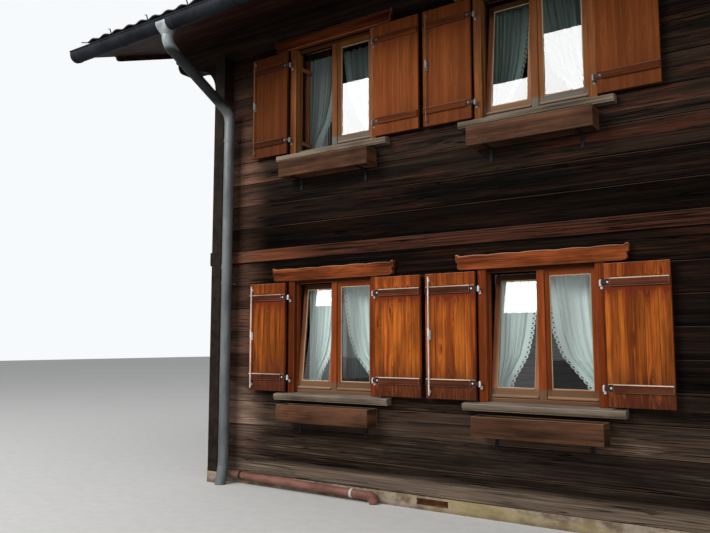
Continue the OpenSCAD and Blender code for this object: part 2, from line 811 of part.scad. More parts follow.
// Boards with V joints, and two battens that are undercut like a dovetail
leaf_front = board_back - leaf_t;
batten_gap = 2;
undercut = 3;
module leaf_wood(both_sides) {
    linear_extrude(leaf_h) leaf_plan(both_sides);
    for (z = [batten_low, batten_high])
        translate([hinge_gap + strap_l + batten_gap, 0, z]) rotate([90, 0, 90])
            linear_extrude(leaf_w - strap_l - 4 * batten_gap) polygon([
                [leaf_front + eps, undercut], [leaf_front + eps, batten_h - undercut],
                [leaf_front - batten_t, batten_h], [leaf_front - batten_t, 0]]);
}
strap_t = 6;
tongue_l = hinge_gap + 5;
module leaf_straps() {
    for (z = hinge_heights) {
        translate([0, 0, z - eye_h / 2]) cylinder(r = eye_r, h = eye_h);
        translate([0, leaf_front - strap_t, z - eye_h / 2]) cube([tongue_l, strap_t + 3, eye_h]);
        strap_plate(z);
    }
}
module strap_plate(z) {
    translate([hinge_gap, leaf_front - strap_t, z - strap_h / 2]) cube([strap_l, strap_t + eps, strap_h]);
}
// Bolt rod with its guides and handle, near the free edge of a left leaf
module leaf_rod() {
    rod_r = 5;
    rod_end = 25;
    guide_end = 60;
    x = hinge_gap + leaf_w - 42;
    y = leaf_front - batten_t - rod_r + eps;
    guide = [18, leaf_front - y + eps, 28];
    grip = [14, 8, 78];
    translate([x, y, rod_end]) cylinder(r = rod_r, h = leaf_h - 2 * rod_end);
    for (z = [guide_end, leaf_h / 2, leaf_h - guide_end])
        translate([x - guide[0] / 2, y, z - guide[2] / 2]) cube(guide);
    translate([x - grip[0] / 2, y - grip[1] + eps, leaf_h / 2 - 8]) cube(grip);
}
module pin_holes() {
    for (z = hinge_heights) translate([0, 0, z - eye_h]) cylinder(r = pin_r + pin_gap, h = 2 * eye_h);
}
module leaf(rod) {
    difference() {
        union() {
            leaf_wood(true);
            leaf_straps();
            if (rod) leaf_rod();
        }
        pin_holes();
    }
}

// Pintles: a foot on the casing, a plate under the eye and the pin through it
module pintle(z) {
    foot_t = 8;
    foot_gap = 1;
    foot_z = z - eye_h / 2 - foot_t - foot_gap;
    reach = -hinge_y - casing_out;
    plate = [2 * eye_r, 4, 30];
    translate([0, 0, foot_z]) {
        cylinder(r = pin_r, h = eye_h + foot_t + 7);
        cylinder(r = eye_r + 1, h = foot_t);
        translate([-eye_r, 0, 0]) cube([2 * eye_r, reach, foot_t]);
        translate([-eye_r, reach - plate[1], foot_t - plate[2]]) cube(plate);
    }
}
module at_hinge() { translate([hinge_x, hinge_y, 0]) children(); }

front_used = [long_columns[0], long_columns[1]];
front_spare = [long_columns[2], long_columns[3]];
module shutter_pins() {
    color("#b9bcbc") at_front() for (x = front_used, z = storeys) translate([x, 0, z])
        mirrored_x() at_hinge() for (h = hinge_heights) pintle(h);
}
// A leaf that stays open, in one piece with the feet of its hinges
module fixed_leaf() {
    foot = [eye_r + tongue_l, -hinge_y - casing_out - leaf_front + strap_t, eye_h];
    at_hinge() {
        leaf_wood(false);
        for (z = hinge_heights) {
            strap_plate(z);
            translate([-eye_r, leaf_front - strap_t, z - eye_h / 2]) cube(foot);
        }
    }
}
module fixed_pair() { mirrored_x() fixed_leaf(); }
module fixed_shutters() {
    color("#8a4a26") {
        at_front() for (x = front_spare, z = storeys) translate([x, 0, z]) fixed_pair();
        rear_windows() fixed_pair();
    }
}
module front_shutter(column, z, left) {
    color("#a5602c") at_front() translate([long_columns[column], 0, z])
        mirror([left ? 1 : 0, 0, 0]) at_hinge() leaf(left);
}
module lower_window_1_left_shutter() { front_shutter(0, lower_sill, true); }
module lower_window_1_right_shutter() { front_shutter(0, lower_sill, false); }
module lower_window_2_left_shutter() { front_shutter(1, lower_sill, true); }
module lower_window_2_right_shutter() { front_shutter(1, lower_sill, false); }
module upper_window_1_left_shutter() { front_shutter(0, upper_sill, true); }
module upper_window_1_right_shutter() { front_shutter(0, upper_sill, false); }
module upper_window_2_left_shutter() { front_shutter(1, upper_sill, true); }
module upper_window_2_right_shutter() { front_shutter(1, upper_sill, false); }

// Flower boxes on two brackets each, filled with soil
module at_box() { front_windows() translate([0, -box_gap - box_d, -box_drop - sill_h - box_h]) children(); }
module window_boxes() {
    iron_w = 30;
    iron_t = 8;
    iron_drop = 120;
    iron_in = 160;
    reach = box_d + box_gap;
    color("#5b4030") at_box() {
        difference() {
            translate([-box_w / 2, 0, 0]) cube([box_w, box_d, box_h]);
            translate([-box_w / 2 + box_t, box_t, box_t]) cube([box_w - 2 * box_t, box_d - 2 * box_t, box_h]);
        }
        mirrored_x() translate([box_w / 2 - iron_in, 0, 0]) {
            translate([0, 0, -iron_t]) cube([iron_w, reach, iron_t + eps]);
            translate([0, reach - iron_t, -iron_drop]) cube([iron_w, iron_t, iron_drop]);
        }
    }
}
module box_soil() {
    soil_h = box_h - box_t - soil_low;
    color("#2c2019") at_box() translate([-box_w / 2 + box_t, box_t, box_t])
        cube([box_w - 2 * box_t, box_d - 2 * box_t, soil_h]);
}

// Curtains on a rod inside each window
rod_z = leaf_h + 85;
rod_y = 270;
rod_r = 9;
rod_l = 1120;
module curtain_rods() {
    color("#b48a5a") {
        front_windows() curtain_rod();
        rear_windows() curtain_rod();
    }
}
module curtain_rod() {
    arm = [16, rod_y - log_t, 2 * rod_r];
    translate([0, rod_y, rod_z]) rotate([0, 90, 0]) cylinder(r = rod_r, h = rod_l, center = true);
    mirrored_x() translate([rod_l / 2 - 30, log_t, rod_z - rod_r]) cube(arm);
}
// Two curtains of soft net, each as thick as its folds
module curtain() {
    fold_t = 30;
    curtain_w = 450;
    hem_z = 20;
    middle_gap = 40;
    mirrored_x() translate([middle_gap, rod_y - fold_t / 2, hem_z]) cube([curtain_w, fold_t, rod_z - rod_r - hem_z]);
}
module curtains() {
    color("white") {
        front_windows() curtain();
        rear_windows() curtain();
    }
}

// Plank door in the middle of the front
door_board = 90;
door_board_t = 30;
door_bar = 50;
threshold_h = 36;
door_gap = 4;
door_t = 50;
door_y = 45;
planks = 7;
plank_groove = 5;
module front_door() {
    w = door_w / 2 - door_bar;
    step = 2 * w / planks;
    color("#7c4524") at_front() translate([0, door_y, plinth_h + threshold_h + door_gap]) {
        linear_extrude(door_h - door_bar - threshold_h - 2 * door_gap) polygon(concat(
            [[-w + door_gap, 0]],
            [for (i = [1:planks - 1]) each let (x = -w + i * step, g = plank_groove) [[x - g, 0], [x, g], [x + g, 0]]],
            [[w - door_gap, 0], [w - door_gap, door_t], [-w + door_gap, door_t]]));
        translate([w - 90, 0, 980]) door_grip();
    }
}
// A bar grip on two stems
module door_grip() {
    bar = [16, 16, 130];
    reach = 45;
    stem_h = 14;
    translate([0, -reach, 0]) {
        cube(bar);
        for (z = [20, bar[2] - 20 - stem_h]) translate([0, 0, z]) cube([bar[0], reach + eps, stem_h]);
    }
}
module door_frame() {
    w = door_w / 2;
    b = door_board;
    color("#8a4a26") at_front() {
        ring_box(-w - b, w + b, plinth_h, plinth_h + door_h + b, -door_board_t, door_board_t, b, 0, b);
        ring_box(-w, w, plinth_h, plinth_h + door_h, -eps, log_t + eps, door_bar, threshold_h, door_bar);
    }
}

foundation();
ground_floor();
upper_floor();
attic_floor();
front_wall_left();
front_wall_right();
front_band();
front_wall_upper();
back_wall();
left_wall();
right_wall();
inner_walls();
purlins();
purlin_brackets();
rafters();
soffit_boards();
roof_boards();
front_roof_tiles();
back_roof_tiles();
ridge_tiles();
barge_boards();
gutters();
downpipes();
swan_necks();
pipe_clips();
drain_pipe();
front_casings();
front_lintels();
front_sills();
front_frames();
front_sashes();
front_glass();
lower_window_1_left_sash();
lower_window_2_left_sash();
upper_window_1_left_sash();
upper_window_2_left_sash();
rear_casings();
rear_lintels();
rear_sills();
rear_frames();
rear_sashes();
rear_glass();
fixed_shutters();
shutter_pins();
window_boxes();
box_soil();
curtains();
curtain_rods();
front_door();
door_frame();
lower_window_1_left_shutter();
lower_window_1_right_shutter();
lower_window_2_left_shutter();
lower_window_2_right_shutter();
upper_window_1_left_shutter();
upper_window_1_right_shutter();
upper_window_2_left_shutter();
upper_window_2_right_shutter();
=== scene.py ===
"""The chalet's finish: log walls, shuttered windows, tiles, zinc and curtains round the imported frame.

Lengths are in metres in the frame's own axes: the front wall faces -Y, and +X runs to its right.
A window's own axes are x from its middle, y into the house from the wall's face, and z from the
foot of its shutters.
"""
import json
import math
from functools import partialmethod

import bpy
import numpy as np
from mathutils import Matrix, Vector


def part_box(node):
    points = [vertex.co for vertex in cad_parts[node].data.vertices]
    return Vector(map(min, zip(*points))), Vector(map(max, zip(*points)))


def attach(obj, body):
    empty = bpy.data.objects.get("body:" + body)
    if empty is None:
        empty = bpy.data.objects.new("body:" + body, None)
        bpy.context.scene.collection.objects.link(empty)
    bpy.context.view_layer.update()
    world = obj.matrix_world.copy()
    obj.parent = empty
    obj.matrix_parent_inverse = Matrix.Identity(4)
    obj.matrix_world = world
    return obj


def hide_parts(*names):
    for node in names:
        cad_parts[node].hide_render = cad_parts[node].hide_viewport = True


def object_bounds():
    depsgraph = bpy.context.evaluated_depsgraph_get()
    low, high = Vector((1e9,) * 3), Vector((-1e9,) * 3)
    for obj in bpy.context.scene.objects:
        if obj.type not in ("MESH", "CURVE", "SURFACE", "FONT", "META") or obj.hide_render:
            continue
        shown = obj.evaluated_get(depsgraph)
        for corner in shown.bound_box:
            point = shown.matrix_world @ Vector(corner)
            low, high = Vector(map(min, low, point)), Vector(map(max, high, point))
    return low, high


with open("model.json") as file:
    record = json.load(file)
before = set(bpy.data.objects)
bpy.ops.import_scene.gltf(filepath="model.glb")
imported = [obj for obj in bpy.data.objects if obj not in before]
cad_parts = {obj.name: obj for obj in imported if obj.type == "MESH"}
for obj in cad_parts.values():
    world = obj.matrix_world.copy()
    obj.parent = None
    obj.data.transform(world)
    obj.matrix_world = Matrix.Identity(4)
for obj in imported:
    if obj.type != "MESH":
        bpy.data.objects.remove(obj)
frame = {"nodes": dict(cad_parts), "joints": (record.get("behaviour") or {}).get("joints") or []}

CAD_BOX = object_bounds()

# The house, as the frame gives it
LOG_HEAD = 0.15
HALF_L, HALF_D, PLINTH_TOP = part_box("foundation")[1] - Vector((LOG_HEAD, LOG_HEAD, 0))
BAND_Z, STOREY_Z = (corner.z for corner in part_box("upper_floor"))
PLATE_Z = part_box("attic_floor")[0].z
HINGES = {joint["name"]: Vector(joint["pos_m"]) for joint in frame["joints"]}


def window_middle(storey, number):
    """The middle of one of the windows that have hinged shutters, at the foot of its shutters."""
    left, right = (HINGES[f"{storey}_window_{number}_{side}_hinge"] for side in ("left", "right"))
    return (left + right) / 2


HINGE_X = HINGES["lower_window_1_right_hinge"].x - window_middle("lower", 1).x
HINGE_Y = HINGES["lower_window_1_left_hinge"].y + HALF_D
STOREYS = {storey: window_middle(storey, 1).z for storey in ("lower", "upper")}
USED_COLUMNS = [window_middle("lower", number).x for number in (1, 2)]
COLUMNS = USED_COLUMNS + [-x for x in USED_COLUMNS]
GABLE_COLUMNS = [-HALF_D / 2, HALF_D / 2]

# Logs and floor band
LOG_H = 0.25
LOG_T = 0.15
LOG_ARRIS = 0.007
BAND_OUT = 0.025
COURSES = 9
FIRST_GABLE_JOINT = 20

# Roof: the soffit's plane, and the layers above it square to the slope
SLOPE = 0.376
SLOPE_ANGLE = math.atan(SLOPE)
SOFFIT_Z = PLATE_Z + 0.36
RIDGE_Z = SOFFIT_Z + SLOPE * HALF_D
LOW_SHOULDER = (HALF_D - LOG_T, SOFFIT_Z + SLOPE * LOG_T)
EAVES_OUT = 1.0
TILES_OUT = 1.06
ROOF_HALF_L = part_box("soffit_boards")[1].x
TILES_HALF_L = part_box("front_roof_tiles")[1].x
TILES_BASE = 0.144
TILE_COLUMNS = 67
TILE_COURSE = 0.328

# Windows
WINDOW_HALF = 0.485
WINDOW_TOP = 1.14
WINDOW_FOOT = -0.085
SILL_TOP = -0.010
CASING_OUT = 0.03
CASING_EDGE = 0.55
LINTEL_HALF = 0.75
LINTEL_H = 0.125
LINTEL_T = 0.06
SILL_HALF = 0.69
FRAME_Y = 0.022
LIP_T = 0.012
FRAME_BACK = 0.086
POST_HALF = 0.0325
SASH_IN = 0.0275
SASH_OUT = 0.470
SASH_LOW = 0.020
SASH_TOP = 1.110
SASH_Y = 0.036
SASH_T = 0.040
STILE_W = 0.047
RAIL_LOW = 0.090
RAIL_TOP = 0.050
TILTS = {("lower", 1): 5.5, ("lower", 2): 8.5, ("upper", 2): 7.2}
BACK_PIN = (-0.4865, 0.1525)
ROD_Y = 0.270
ROD_Z = 1.205
HEM_Z = 0.020
ATTIC_Z = PLATE_Z + 0.33
ATTIC_HALF = 0.31
ATTIC_H = 0.62
DOOR_HALF = 0.5
DOOR_H = 2.05

# Shutter leaves, from their hinge's axis
LEAF_IN = 0.032
LEAF_W = 0.49
LEAF_H = 1.12
LEAF_BACK = 0.0195
LEAF_FRONT = LEAF_BACK - 0.03
BATTEN_T = 0.02
BATTEN_H = 0.066
BATTENS = (0.112, 0.938)
STRAP_L = 0.042
STRAP_H = 0.038
STRAP_T = 0.006
EYE_R = 0.011
EYE_H = 0.036

# Edges that turn by more than this many degrees stay crisp
SHARP_FROM = 24


def arc(centre_x, centre_z, radius, start, end, steps):
    """Points of an arc from one angle to another, in degrees."""
    turn = np.radians(np.linspace(start, end, steps + 1))
    return [(centre_x + radius * math.cos(a), centre_z + radius * math.sin(a)) for a in turn]


def inward(outline):
    """How each point of an anticlockwise outline moves when its sides move in by one."""
    side = np.roll(outline, -1, 0) - outline
    normal = np.stack([side[:, 1], -side[:, 0]], 1)
    normal /= np.maximum(np.linalg.norm(side, axis=1), 1e-9)[:, None]
    before = np.roll(normal, 1, 0)
    spread = 1 + (before * normal).sum(1)
    return -(before + normal) / np.maximum(spread, 0.35)[:, None]


def softened(start, stop, soft, inset=None):
    """Stations of a straight run whose two ends are taken off."""
    inset = soft if inset is None else inset
    return [(start, inset), (start + soft, 0), (stop - soft, 0), (stop, inset)]


def placed(points, place):
    """Points moved to a place."""
    m = np.array(place)
    return points @ m[:3, :3].T + m[:3, 3]


def from_axis(axis):
    """An axis and the two that follow it."""
    return axis, (axis + 1) % 3, (axis + 2) % 3


class Shape:
    """Solid parts: points, grain, corners, sizes, worn and finish as arrays, and a tone.

    Grain is metres along, across and through the wood. Worn is 1 on edges taken off and 0 on flats.
    Finish is the material's place in the object's list. Tone makes the next parts paler or darker.
    """

    def __init__(self):
        self.parts = []
        self.tone = 0

    def sweep(self, outline, stations, axes=(0, 1, 2), grain=0, finish=0, cut_finish=None, arris=0):
        """A solid whose outline stands across axes[0]; each station is a place and how far it is set in."""
        outline = np.asarray(outline, float)
        a, b = outline.T
        if (a * np.roll(b, -1) - np.roll(a, -1) * b).sum() < 0:
            outline = outline[::-1]
        n, m = len(outline), len(stations)
        places, insets = np.transpose(stations)
        points = np.empty((m, n, 3))
        points[..., axes[0]] = places[:, None]
        points[..., axes[1:]] = outline + insets[:, None, None] * inward(outline)
        points = points.reshape(-1, 3)
        around = np.arange(n)
        after = np.roll(around, -1)
        quads = np.stack([around, after, n + after, n + around], 1) + np.arange(m - 1)[:, None, None] * n
        corners = np.concatenate([quads.ravel(), around[::-1], around + (m - 1) * n])
        sizes = np.array([4] * (n * (m - 1)) + [n, n])
        side = np.roll(outline, -1, 0) - outline
        length = np.linalg.norm(side, axis=1)
        slanted = (np.abs(side).min(1) > 1e-6) & (length < 1.6 * arris)
        worn = np.append(slanted | (np.diff(insets) != 0)[:, None], [0.0, 0.0])
        cut_finish = finish if cut_finish is None else cut_finish
        if grain == axes[0]:
            strips, caps = np.full(n, finish), cut_finish
        else:
            across = np.abs(side[:, 1 - axes[1:].index(grain)]) > 0.9 * length
            strips, caps = np.where(across, cut_finish, finish), finish
        order = 1 if axes == from_axis(axes[0]) else -1
        faces = [corners, sizes, worn, np.append(np.tile(strips, m - 1), [caps, caps])]
        faces = [array[::order] for array in faces]
        self.parts.append((points, points[:, from_axis(grain)], *faces, self.tone))
        return self

    def bar(self, low, high, grain=0, arris=0.001, **finishes):
        """A squared bar between two corners, with its edges taken off."""
        axes = from_axis(grain)
        (s0, a0, b0), (s1, a1, b1) = ([corner[i] for i in axes] for corner in (low, high))
        c = arris
        outline = [
            (a0 + c, b0), (a1 - c, b0), (a1, b0 + c), (a1, b1 - c),
            (a1 - c, b1), (a0 + c, b1), (a0, b1 - c), (a0, b0 + c)]
        return self.sweep(outline, softened(s0, s1, c, 0.8 * c), axes, grain, arris=arris, **finishes)

    def ring(self, low, high, side, foot=None, head=None, **looks):
        """A frame between two corners: two stiles the full height, and two rails between them."""
        (x0, near, z0), (x1, far, z1) = low, high
        self.bar(low, (x0 + side, far, z1), grain=2, **looks)
        self.bar((x1 - side, near, z0), high, grain=2, **looks)
        self.bar((x0 + side, near, z0), (x1 - side, far, z0 + (foot or side)), **looks)
        return self.bar((x0 + side, near, z1 - (head or side)), (x1 - side, far, z1), **looks)

    def board(self, outline, near, far, arris, **finishes):
        """A flat piece cut to an outline, its thickness from near to far along y."""
        return self.sweep(outline, softened(near, far, arris), (1, 0, 2), **finishes)

    def turned(self, profile, foot, axis=2, sides=20, **finishes):
        """A turned piece: the profile is (radius, height) from its foot along an axis."""
        axes = from_axis(axis)
        widest = max(radius for radius, _ in profile)
        turn = np.arange(sides) * 2 * math.pi / sides
        outline = widest * np.stack([np.cos(turn), np.sin(turn)], 1) + [foot[axes[1]], foot[axes[2]]]
        stations = [(foot[axis] + height, widest - radius) for radius, height in profile]
        return self.sweep(outline, stations, axes, axis, **finishes)

    def add(self, other, *places):
        """Adds another shape's parts as they are, or once at each place."""
        for place in places or [STILL]:
            order = -1 if place.is_negative else 1
            for points, grain, *faces, tone in other.parts:
                faces = [array[::order] for array in faces]
                self.parts.append((placed(points, place), grain, *faces, tone))
        return self

    def mesh(self, name, tone=0, spread=1):
        """The mesh, each part with its own stretch of wood and its own tint about the piece's tone."""
        points, grain, corners, sizes, worn, finish, tones = zip(*self.parts)
        counts = [len(of_part) for of_part in points]
        part = np.repeat(np.arange(len(counts)), counts)
        starts = np.cumsum(counts) - counts
        draws = np.random.default_rng(sum(map(ord, name)))
        shift = draws.uniform(0, 40, (len(counts), 3))
        tint = tone + np.array(tones) + spread * draws.uniform(-1, 1, len(counts))
        corners = np.concatenate([of_part + start for of_part, start in zip(corners, starts)])
        polygons = np.split(corners, np.cumsum(np.concatenate(sizes))[:-1])
        made = bpy.data.meshes.new(name)
        made.from_pydata(np.concatenate(points), [], polygons, shade_flat=False)
        made.polygons.foreach_set("material_index", np.concatenate(finish))
        for label, kind, domain, key, values in (
                ("grain", "FLOAT_VECTOR", "POINT", "vector", np.concatenate(grain) + shift[part]),
                ("tint", "FLOAT", "POINT", "value", tint[part]),
                ("worn", "FLOAT", "FACE", "value", np.concatenate(worn))):
            made.attributes.new(label, kind, domain).data.foreach_set(key, values.ravel())
        made.set_sharp_from_angle(angle=math.radians(SHARP_FROM))
        return made


def linked(name, data):
    """An object in the scene."""
    obj = bpy.data.objects.new(name, data)
    bpy.context.scene.collection.objects.link(obj)
    return obj


def piece(name, made, slot, finishes, body="root", stands_for=(), **look):
    """A shape or mesh of the house that rides on a body and may stand for nodes of the frame."""
    mesh = made.mesh(name, **look) if isinstance(made, Shape) else made
    obj = linked(name, mesh)
    for finish in finishes:
        mesh.materials.append(finish)
    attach(obj, body)
    if stands_for:
        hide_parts(*stands_for)
    return obj


# The walls' own axes: x to the right seen from outside, y into the house
moved = Matrix.Translation
STILL = Matrix.Identity(4)
MIRROR = Matrix.Scale(-1, 4, (1, 0, 0))
TURN_ROUND = Matrix.Rotation(math.pi, 4, "Z")
AT_FRONT = moved((0, -HALF_D, 0))
AT_BACK = moved((0, HALF_D, 0)) @ TURN_ROUND
AT_LEFT = moved((-HALF_L, 0, 0)) @ Matrix.Rotation(-math.pi / 2, 4, "Z")
AT_RIGHT = moved((HALF_L, 0, 0)) @ Matrix.Rotation(math.pi / 2, 4, "Z")
SIDES = {"left": MIRROR, "right": STILL}
SLOPES = {"front": STILL, "back": TURN_ROUND}


def window_places(wall, columns):
    return [wall @ moved((x, 0, z)) for x in columns for z in STOREYS.values()]


FRONT_PLACES = window_places(AT_FRONT, COLUMNS)
REAR_PLACES = (
    window_places(AT_BACK, COLUMNS)
    + window_places(AT_LEFT, GABLE_COLUMNS)
    + window_places(AT_RIGHT, GABLE_COLUMNS))


def fill(socket, value):
    """Links a field to a socket, or sets the socket to a number, a vector or a colour."""
    if isinstance(value, Field):
        socket.id_data.links.new(value.socket, socket)
    else:
        socket.default_value = (*value, 1) if socket.type == "RGBA" else value


def new_node(tree, kind, inputs=None, **settings):
    """A node with its settings made and its sockets filled."""
    made = tree.nodes.new(kind)
    for key, value in settings.items():
        setattr(made, key, value)
    for key, value in (inputs or {}).items():
        fill(made.inputs[key], value)
    return made


class Field:
    """What a node gives: it can be reckoned with like a number and read like coordinates."""

    def __init__(self, node, output=0):
        self.socket = node.outputs[output]

    def onward(self, kind, inputs, output=0, **settings):
        return Field(new_node(self.socket.id_data, "ShaderNode" + kind, inputs, **settings), output)

    def reckon(self, operation, other=0.0, swapped=False):
        inputs = {0: other, 1: self} if swapped else {0: self, 1: other}
        return self.onward("Math", inputs, operation=operation)

    __add__ = partialmethod(reckon, "ADD")
    __sub__ = partialmethod(reckon, "SUBTRACT")
    __rsub__ = partialmethod(reckon, "SUBTRACT", swapped=True)
    __mul__ = partialmethod(reckon, "MULTIPLY")
    __truediv__ = partialmethod(reckon, "DIVIDE")
    __mod__ = partialmethod(reckon, "MODULO")
    __gt__ = partialmethod(reckon, "GREATER_THAN")
    __lt__ = partialmethod(reckon, "LESS_THAN")
    __or__ = partialmethod(reckon, "MAXIMUM")
    __abs__ = partialmethod(reckon, "ABSOLUTE")

    def span(self, low, high, to_low=0.0, to_high=1.0):
        """The value from low to high, smoothly brought to another range and held there."""
        inputs = {"Value": self, "From Min": low, "From Max": high, "To Min": to_low, "To Max": to_high}
        return self.onward("MapRange", inputs, "Result", interpolation_type="SMOOTHSTEP")

    def stretch(self, scale, turn=(0, 0, 0), shift=(0, 0, 0)):
        inputs = {"Vector": self, "Scale": scale, "Rotation": turn, "Location": shift}
        return self.onward("Mapping", inputs, "Vector")

    def noise(self, scale, detail=3.0, rough=0.5, bend=0.0, shift=(0, 0, 0)):
        """Noise in one scale, or in three after a shift."""
        if isinstance(scale, tuple):
            return self.stretch(scale, shift=shift).noise(1.0, detail, rough, bend)
        inputs = {"Vector": self, "Scale": scale, "Detail": detail, "Roughness": rough, "Distortion": bend}
        return self.onward("TexNoise", inputs, "Fac")

    def cells(self, scale=1.0, **settings):
        return self.onward("TexVoronoi", {"Vector": self, "Scale": scale}, "Distance", **settings)

    def lines(self, scale, width, shift=(0, 0, 0), bend=0.2):
        """Thin wandering lines along the grain: 1 on a line."""
        return abs(self.noise(scale, 1.2, bend=bend, shift=shift) - 0.5).span(0.0, width, 1.0, 0.0)

    def xyz(self):
        made = new_node(self.socket.id_data, "ShaderNodeSeparateXYZ", {0: self})
        return [Field(made, i) for i in range(3)]


class Finish:
    """A material, and what builds up its nodes."""

    def __init__(self, name):
        self.material = bpy.data.materials.new(name)
        self.material.use_nodes = True
        self.tree = self.material.node_tree
        self.skin = self.tree.nodes["Principled BSDF"]

    def node(self, kind, inputs=None, output=0, **settings):
        return Field(new_node(self.tree, "ShaderNode" + kind, inputs, **settings), output)

    def attribute(self, name, output="Fac"):
        return self.node("Attribute", None, output, attribute_name=name)

    def place(self):
        return self.node("TexCoord", None, "Object")

    def mix(self, share, a, b, blend="MIX"):
        """From one colour to another by the second one's share."""
        return self.node("Mix", {0: share, 6: a, 7: b}, 2, data_type="RGBA", blend_type=blend)

    def over(self, share, tone):
        """Lays a tone over the colour so far."""
        self.colour = self.mix(share, self.colour, tone)

    def shade(self, factor):
        """Multiplies the colour so far by a factor that varies over the surface."""
        grey = self.node("CombineColor", {0: factor, 1: factor, 2: factor})
        self.colour = self.mix(1, self.colour, grey, "MULTIPLY")

    def upward(self):
        """1 where the surface faces up, 0 where it stands or faces down."""
        return self.node("NewGeometry", None, "Normal").xyz()[2].span(0.15, 0.65)

    def outer_side(self):
        """1 on faces turned away from the house's middle while the piece is at rest."""
        inputs = {0: self.node("TexCoord", None, "Normal"), 1: self.place()}
        return self.node("VectorMath", inputs, "Value", operation="DOT_PRODUCT") > 0.0

    def bumped(self, height, strength, distance=0.002):
        inputs = {"Height": height, "Strength": strength, "Distance": distance}
        fill(self.skin.inputs["Normal"], self.node("Bump", inputs))

    def finished(self, rough, metal=0, specular=0.5):
        for key, value in (("Base Color", self.colour), ("Roughness", rough), ("Metallic", metal),
                           ("Specular IOR Level", specular)):
            fill(self.skin.inputs[key], value)
        return self.material

    def surfaced(self, shader):
        """The material with a shader of its own."""
        self.tree.nodes.remove(self.skin)
        fill(self.tree.nodes["Material Output"].inputs["Surface"], shader)
        return self.material


TURN_TO_GRAIN = {"x": (0, 0, 0), "y": (0, 0, -math.pi / 2), "z": (0, math.pi / 2, 0)}


def leaf_stains(f, pale, foot, runs):
    """Dark stains at the ends of a shutter that stands at a height, and stains with painted shadow under its
    battens.
    """
    place = f.place()
    drip = place.noise((55, 55, 2), rough=0.6)
    over_foot = place.xyz()[2] - foot
    height = over_foot + drip.span(0.3, 0.7, -0.09, 0.09)
    level = over_foot + drip.span(0.3, 0.7, -0.035, 0.035)
    foot_stain = (height.span(0.17, 0.10) | height.span(0.37, 0.16, 0, 0.65)) * drip.span(0.25, 0.6, 0.65, 1)
    # A band just under each batten: partly stain, partly painted shadow of the batten
    under_batten = (level.span(0.865, 0.905) | level.span(0.77, 0.90, 0, 0.6)) * (level < 1)
    head_stain_and_shadow = under_batten * f.outer_side() | height.span(0.96, 1.06, 0, 0.5)
    f.over(head_stain_and_shadow * runs, [v * k for v, k in zip(pale, (0.26, 0.16, 0.4))])
    f.over(foot_stain * runs, (0.052, 0.015, 0.009))


def wood(name, pale, deep, worn, rough=0.6, specular=0.025, along=None, streaks=0.5, stains=0.4, cracks=0.3,
         wear_and_highlight_share=0.7, tint_share=0.22, knots=0, leaf_foot=None, runs=0.8, dark_arris=0, grey_foot=0,
         broad_scale=(0.6, 19, 19), edge_wear_and_highlight=0.3, upstairs=None, dark_head=None):
    """Planed wood: grain streaks, stains across boards, fine cracks, and pale wear with a painted highlight
    on edges and tops.

    Grain and tint come from the part's own attributes, or with along from the house's axes. With
    leaf_foot, the height of a shutter's foot, dark stains gather at its ends, and stains with painted
    shadow under its battens. Dark_arris darkens standing edges, edge_wear_and_highlight gives pale wear and a
    painted highlight to those that don't face up, and grey_foot weathers the foot of the windows. Upstairs
    changes the colour in the upper storey, and dark_head gives how high over a window's foot the shade
    under its lintel begins and ends.
    """
    f = Finish(name)
    grain = f.place().stretch((1, 1, 1), TURN_TO_GRAIN[along]) if along else f.attribute("grain", "Vector")
    if knots:
        cell = grain.stretch((2.3, 11, 11)).cells()
        knot = cell.span(0.02, 0.16, 1, 0)
        away = f.node("CombineXYZ", {1: cell.span(0, 0.42, 1, 0) * 0.035})
        grain = f.node("VectorMath", {0: grain, 1: away}, operation="ADD")
    broad = grain.noise(broad_scale, 5, 0.6, 0.3)
    fine = grain.noise((4, 230, 230), 2)
    blotch = grain.noise((1.6, 5, 5), rough=0.6)
    shade = fine.span(0.25, 0.75, 1 - 0.6 * streaks, 1 + 0.4 * streaks)
    shade = shade * blotch.span(0.3, 0.6, 1 - stains, 1.05)
    crack = grain.lines((0.9, 34, 34), 0.012) * grain.noise((1.1, 7, 7), shift=(9, 4, 2)).span(0.5, 0.62)
    shade = shade * (1 - crack * min(1, 1.6 * cracks))
    if not along:
        shade = shade * (f.attribute("tint") * tint_share + 1)
    f.colour = f.mix(broad.span(0.34, 0.66), deep, pale)
    f.shade(shade)
    knot_tone = [0.3 * v for v in deep]
    if knots:
        f.over(knot * knots, knot_tone)
    if leaf_foot is not None:
        leaf_stains(f, pale, leaf_foot, runs)
    height = f.place().xyz()[2]
    if grey_foot:
        lower, upper = ((height - foot).span(-0.05, 0) * (height - foot).span(0.125, 0.085)
                        for foot in STOREYS.values())
        near = (lower | upper) * blotch.span(0.3, 0.6, 0.6, 1)
        f.over(near * grey_foot, (0.115, 0.076, 0.046))
    if upstairs:
        f.over(height > STOREY_Z, f.mix(1, f.colour, upstairs, "MULTIPLY"))
    if dark_head:
        lower, upper = (height.span(foot + dark_head[0], foot + dark_head[1]) for foot in STOREYS.values())
        f.shade((lower * (height < STOREY_Z) | upper).span(0, 1, 1, 0.3))
    upward = f.upward()
    if dark_arris:
        f.over(f.attribute("worn") * (1 - upward) * dark_arris, knot_tone)
    if not along:
        edge = f.attribute("worn") * upward.span(0, 1, edge_wear_and_highlight * (1 - dark_arris), 1)
        upward = edge | upward * 0.75
    # Pale wear on worn edges, and a painted highlight on edges and faces that turn up
    f.over(upward * blotch.span(0.3, 0.6, 0.35, 1) * wear_and_highlight_share, worn)
    f.bumped(fine * 0.35 - crack, 0.35 + 0.5 * cracks, 0.0015)
    return f.finished(fine.span(0.2, 0.8, rough - 0.1, rough + 0.12), specular=specular)


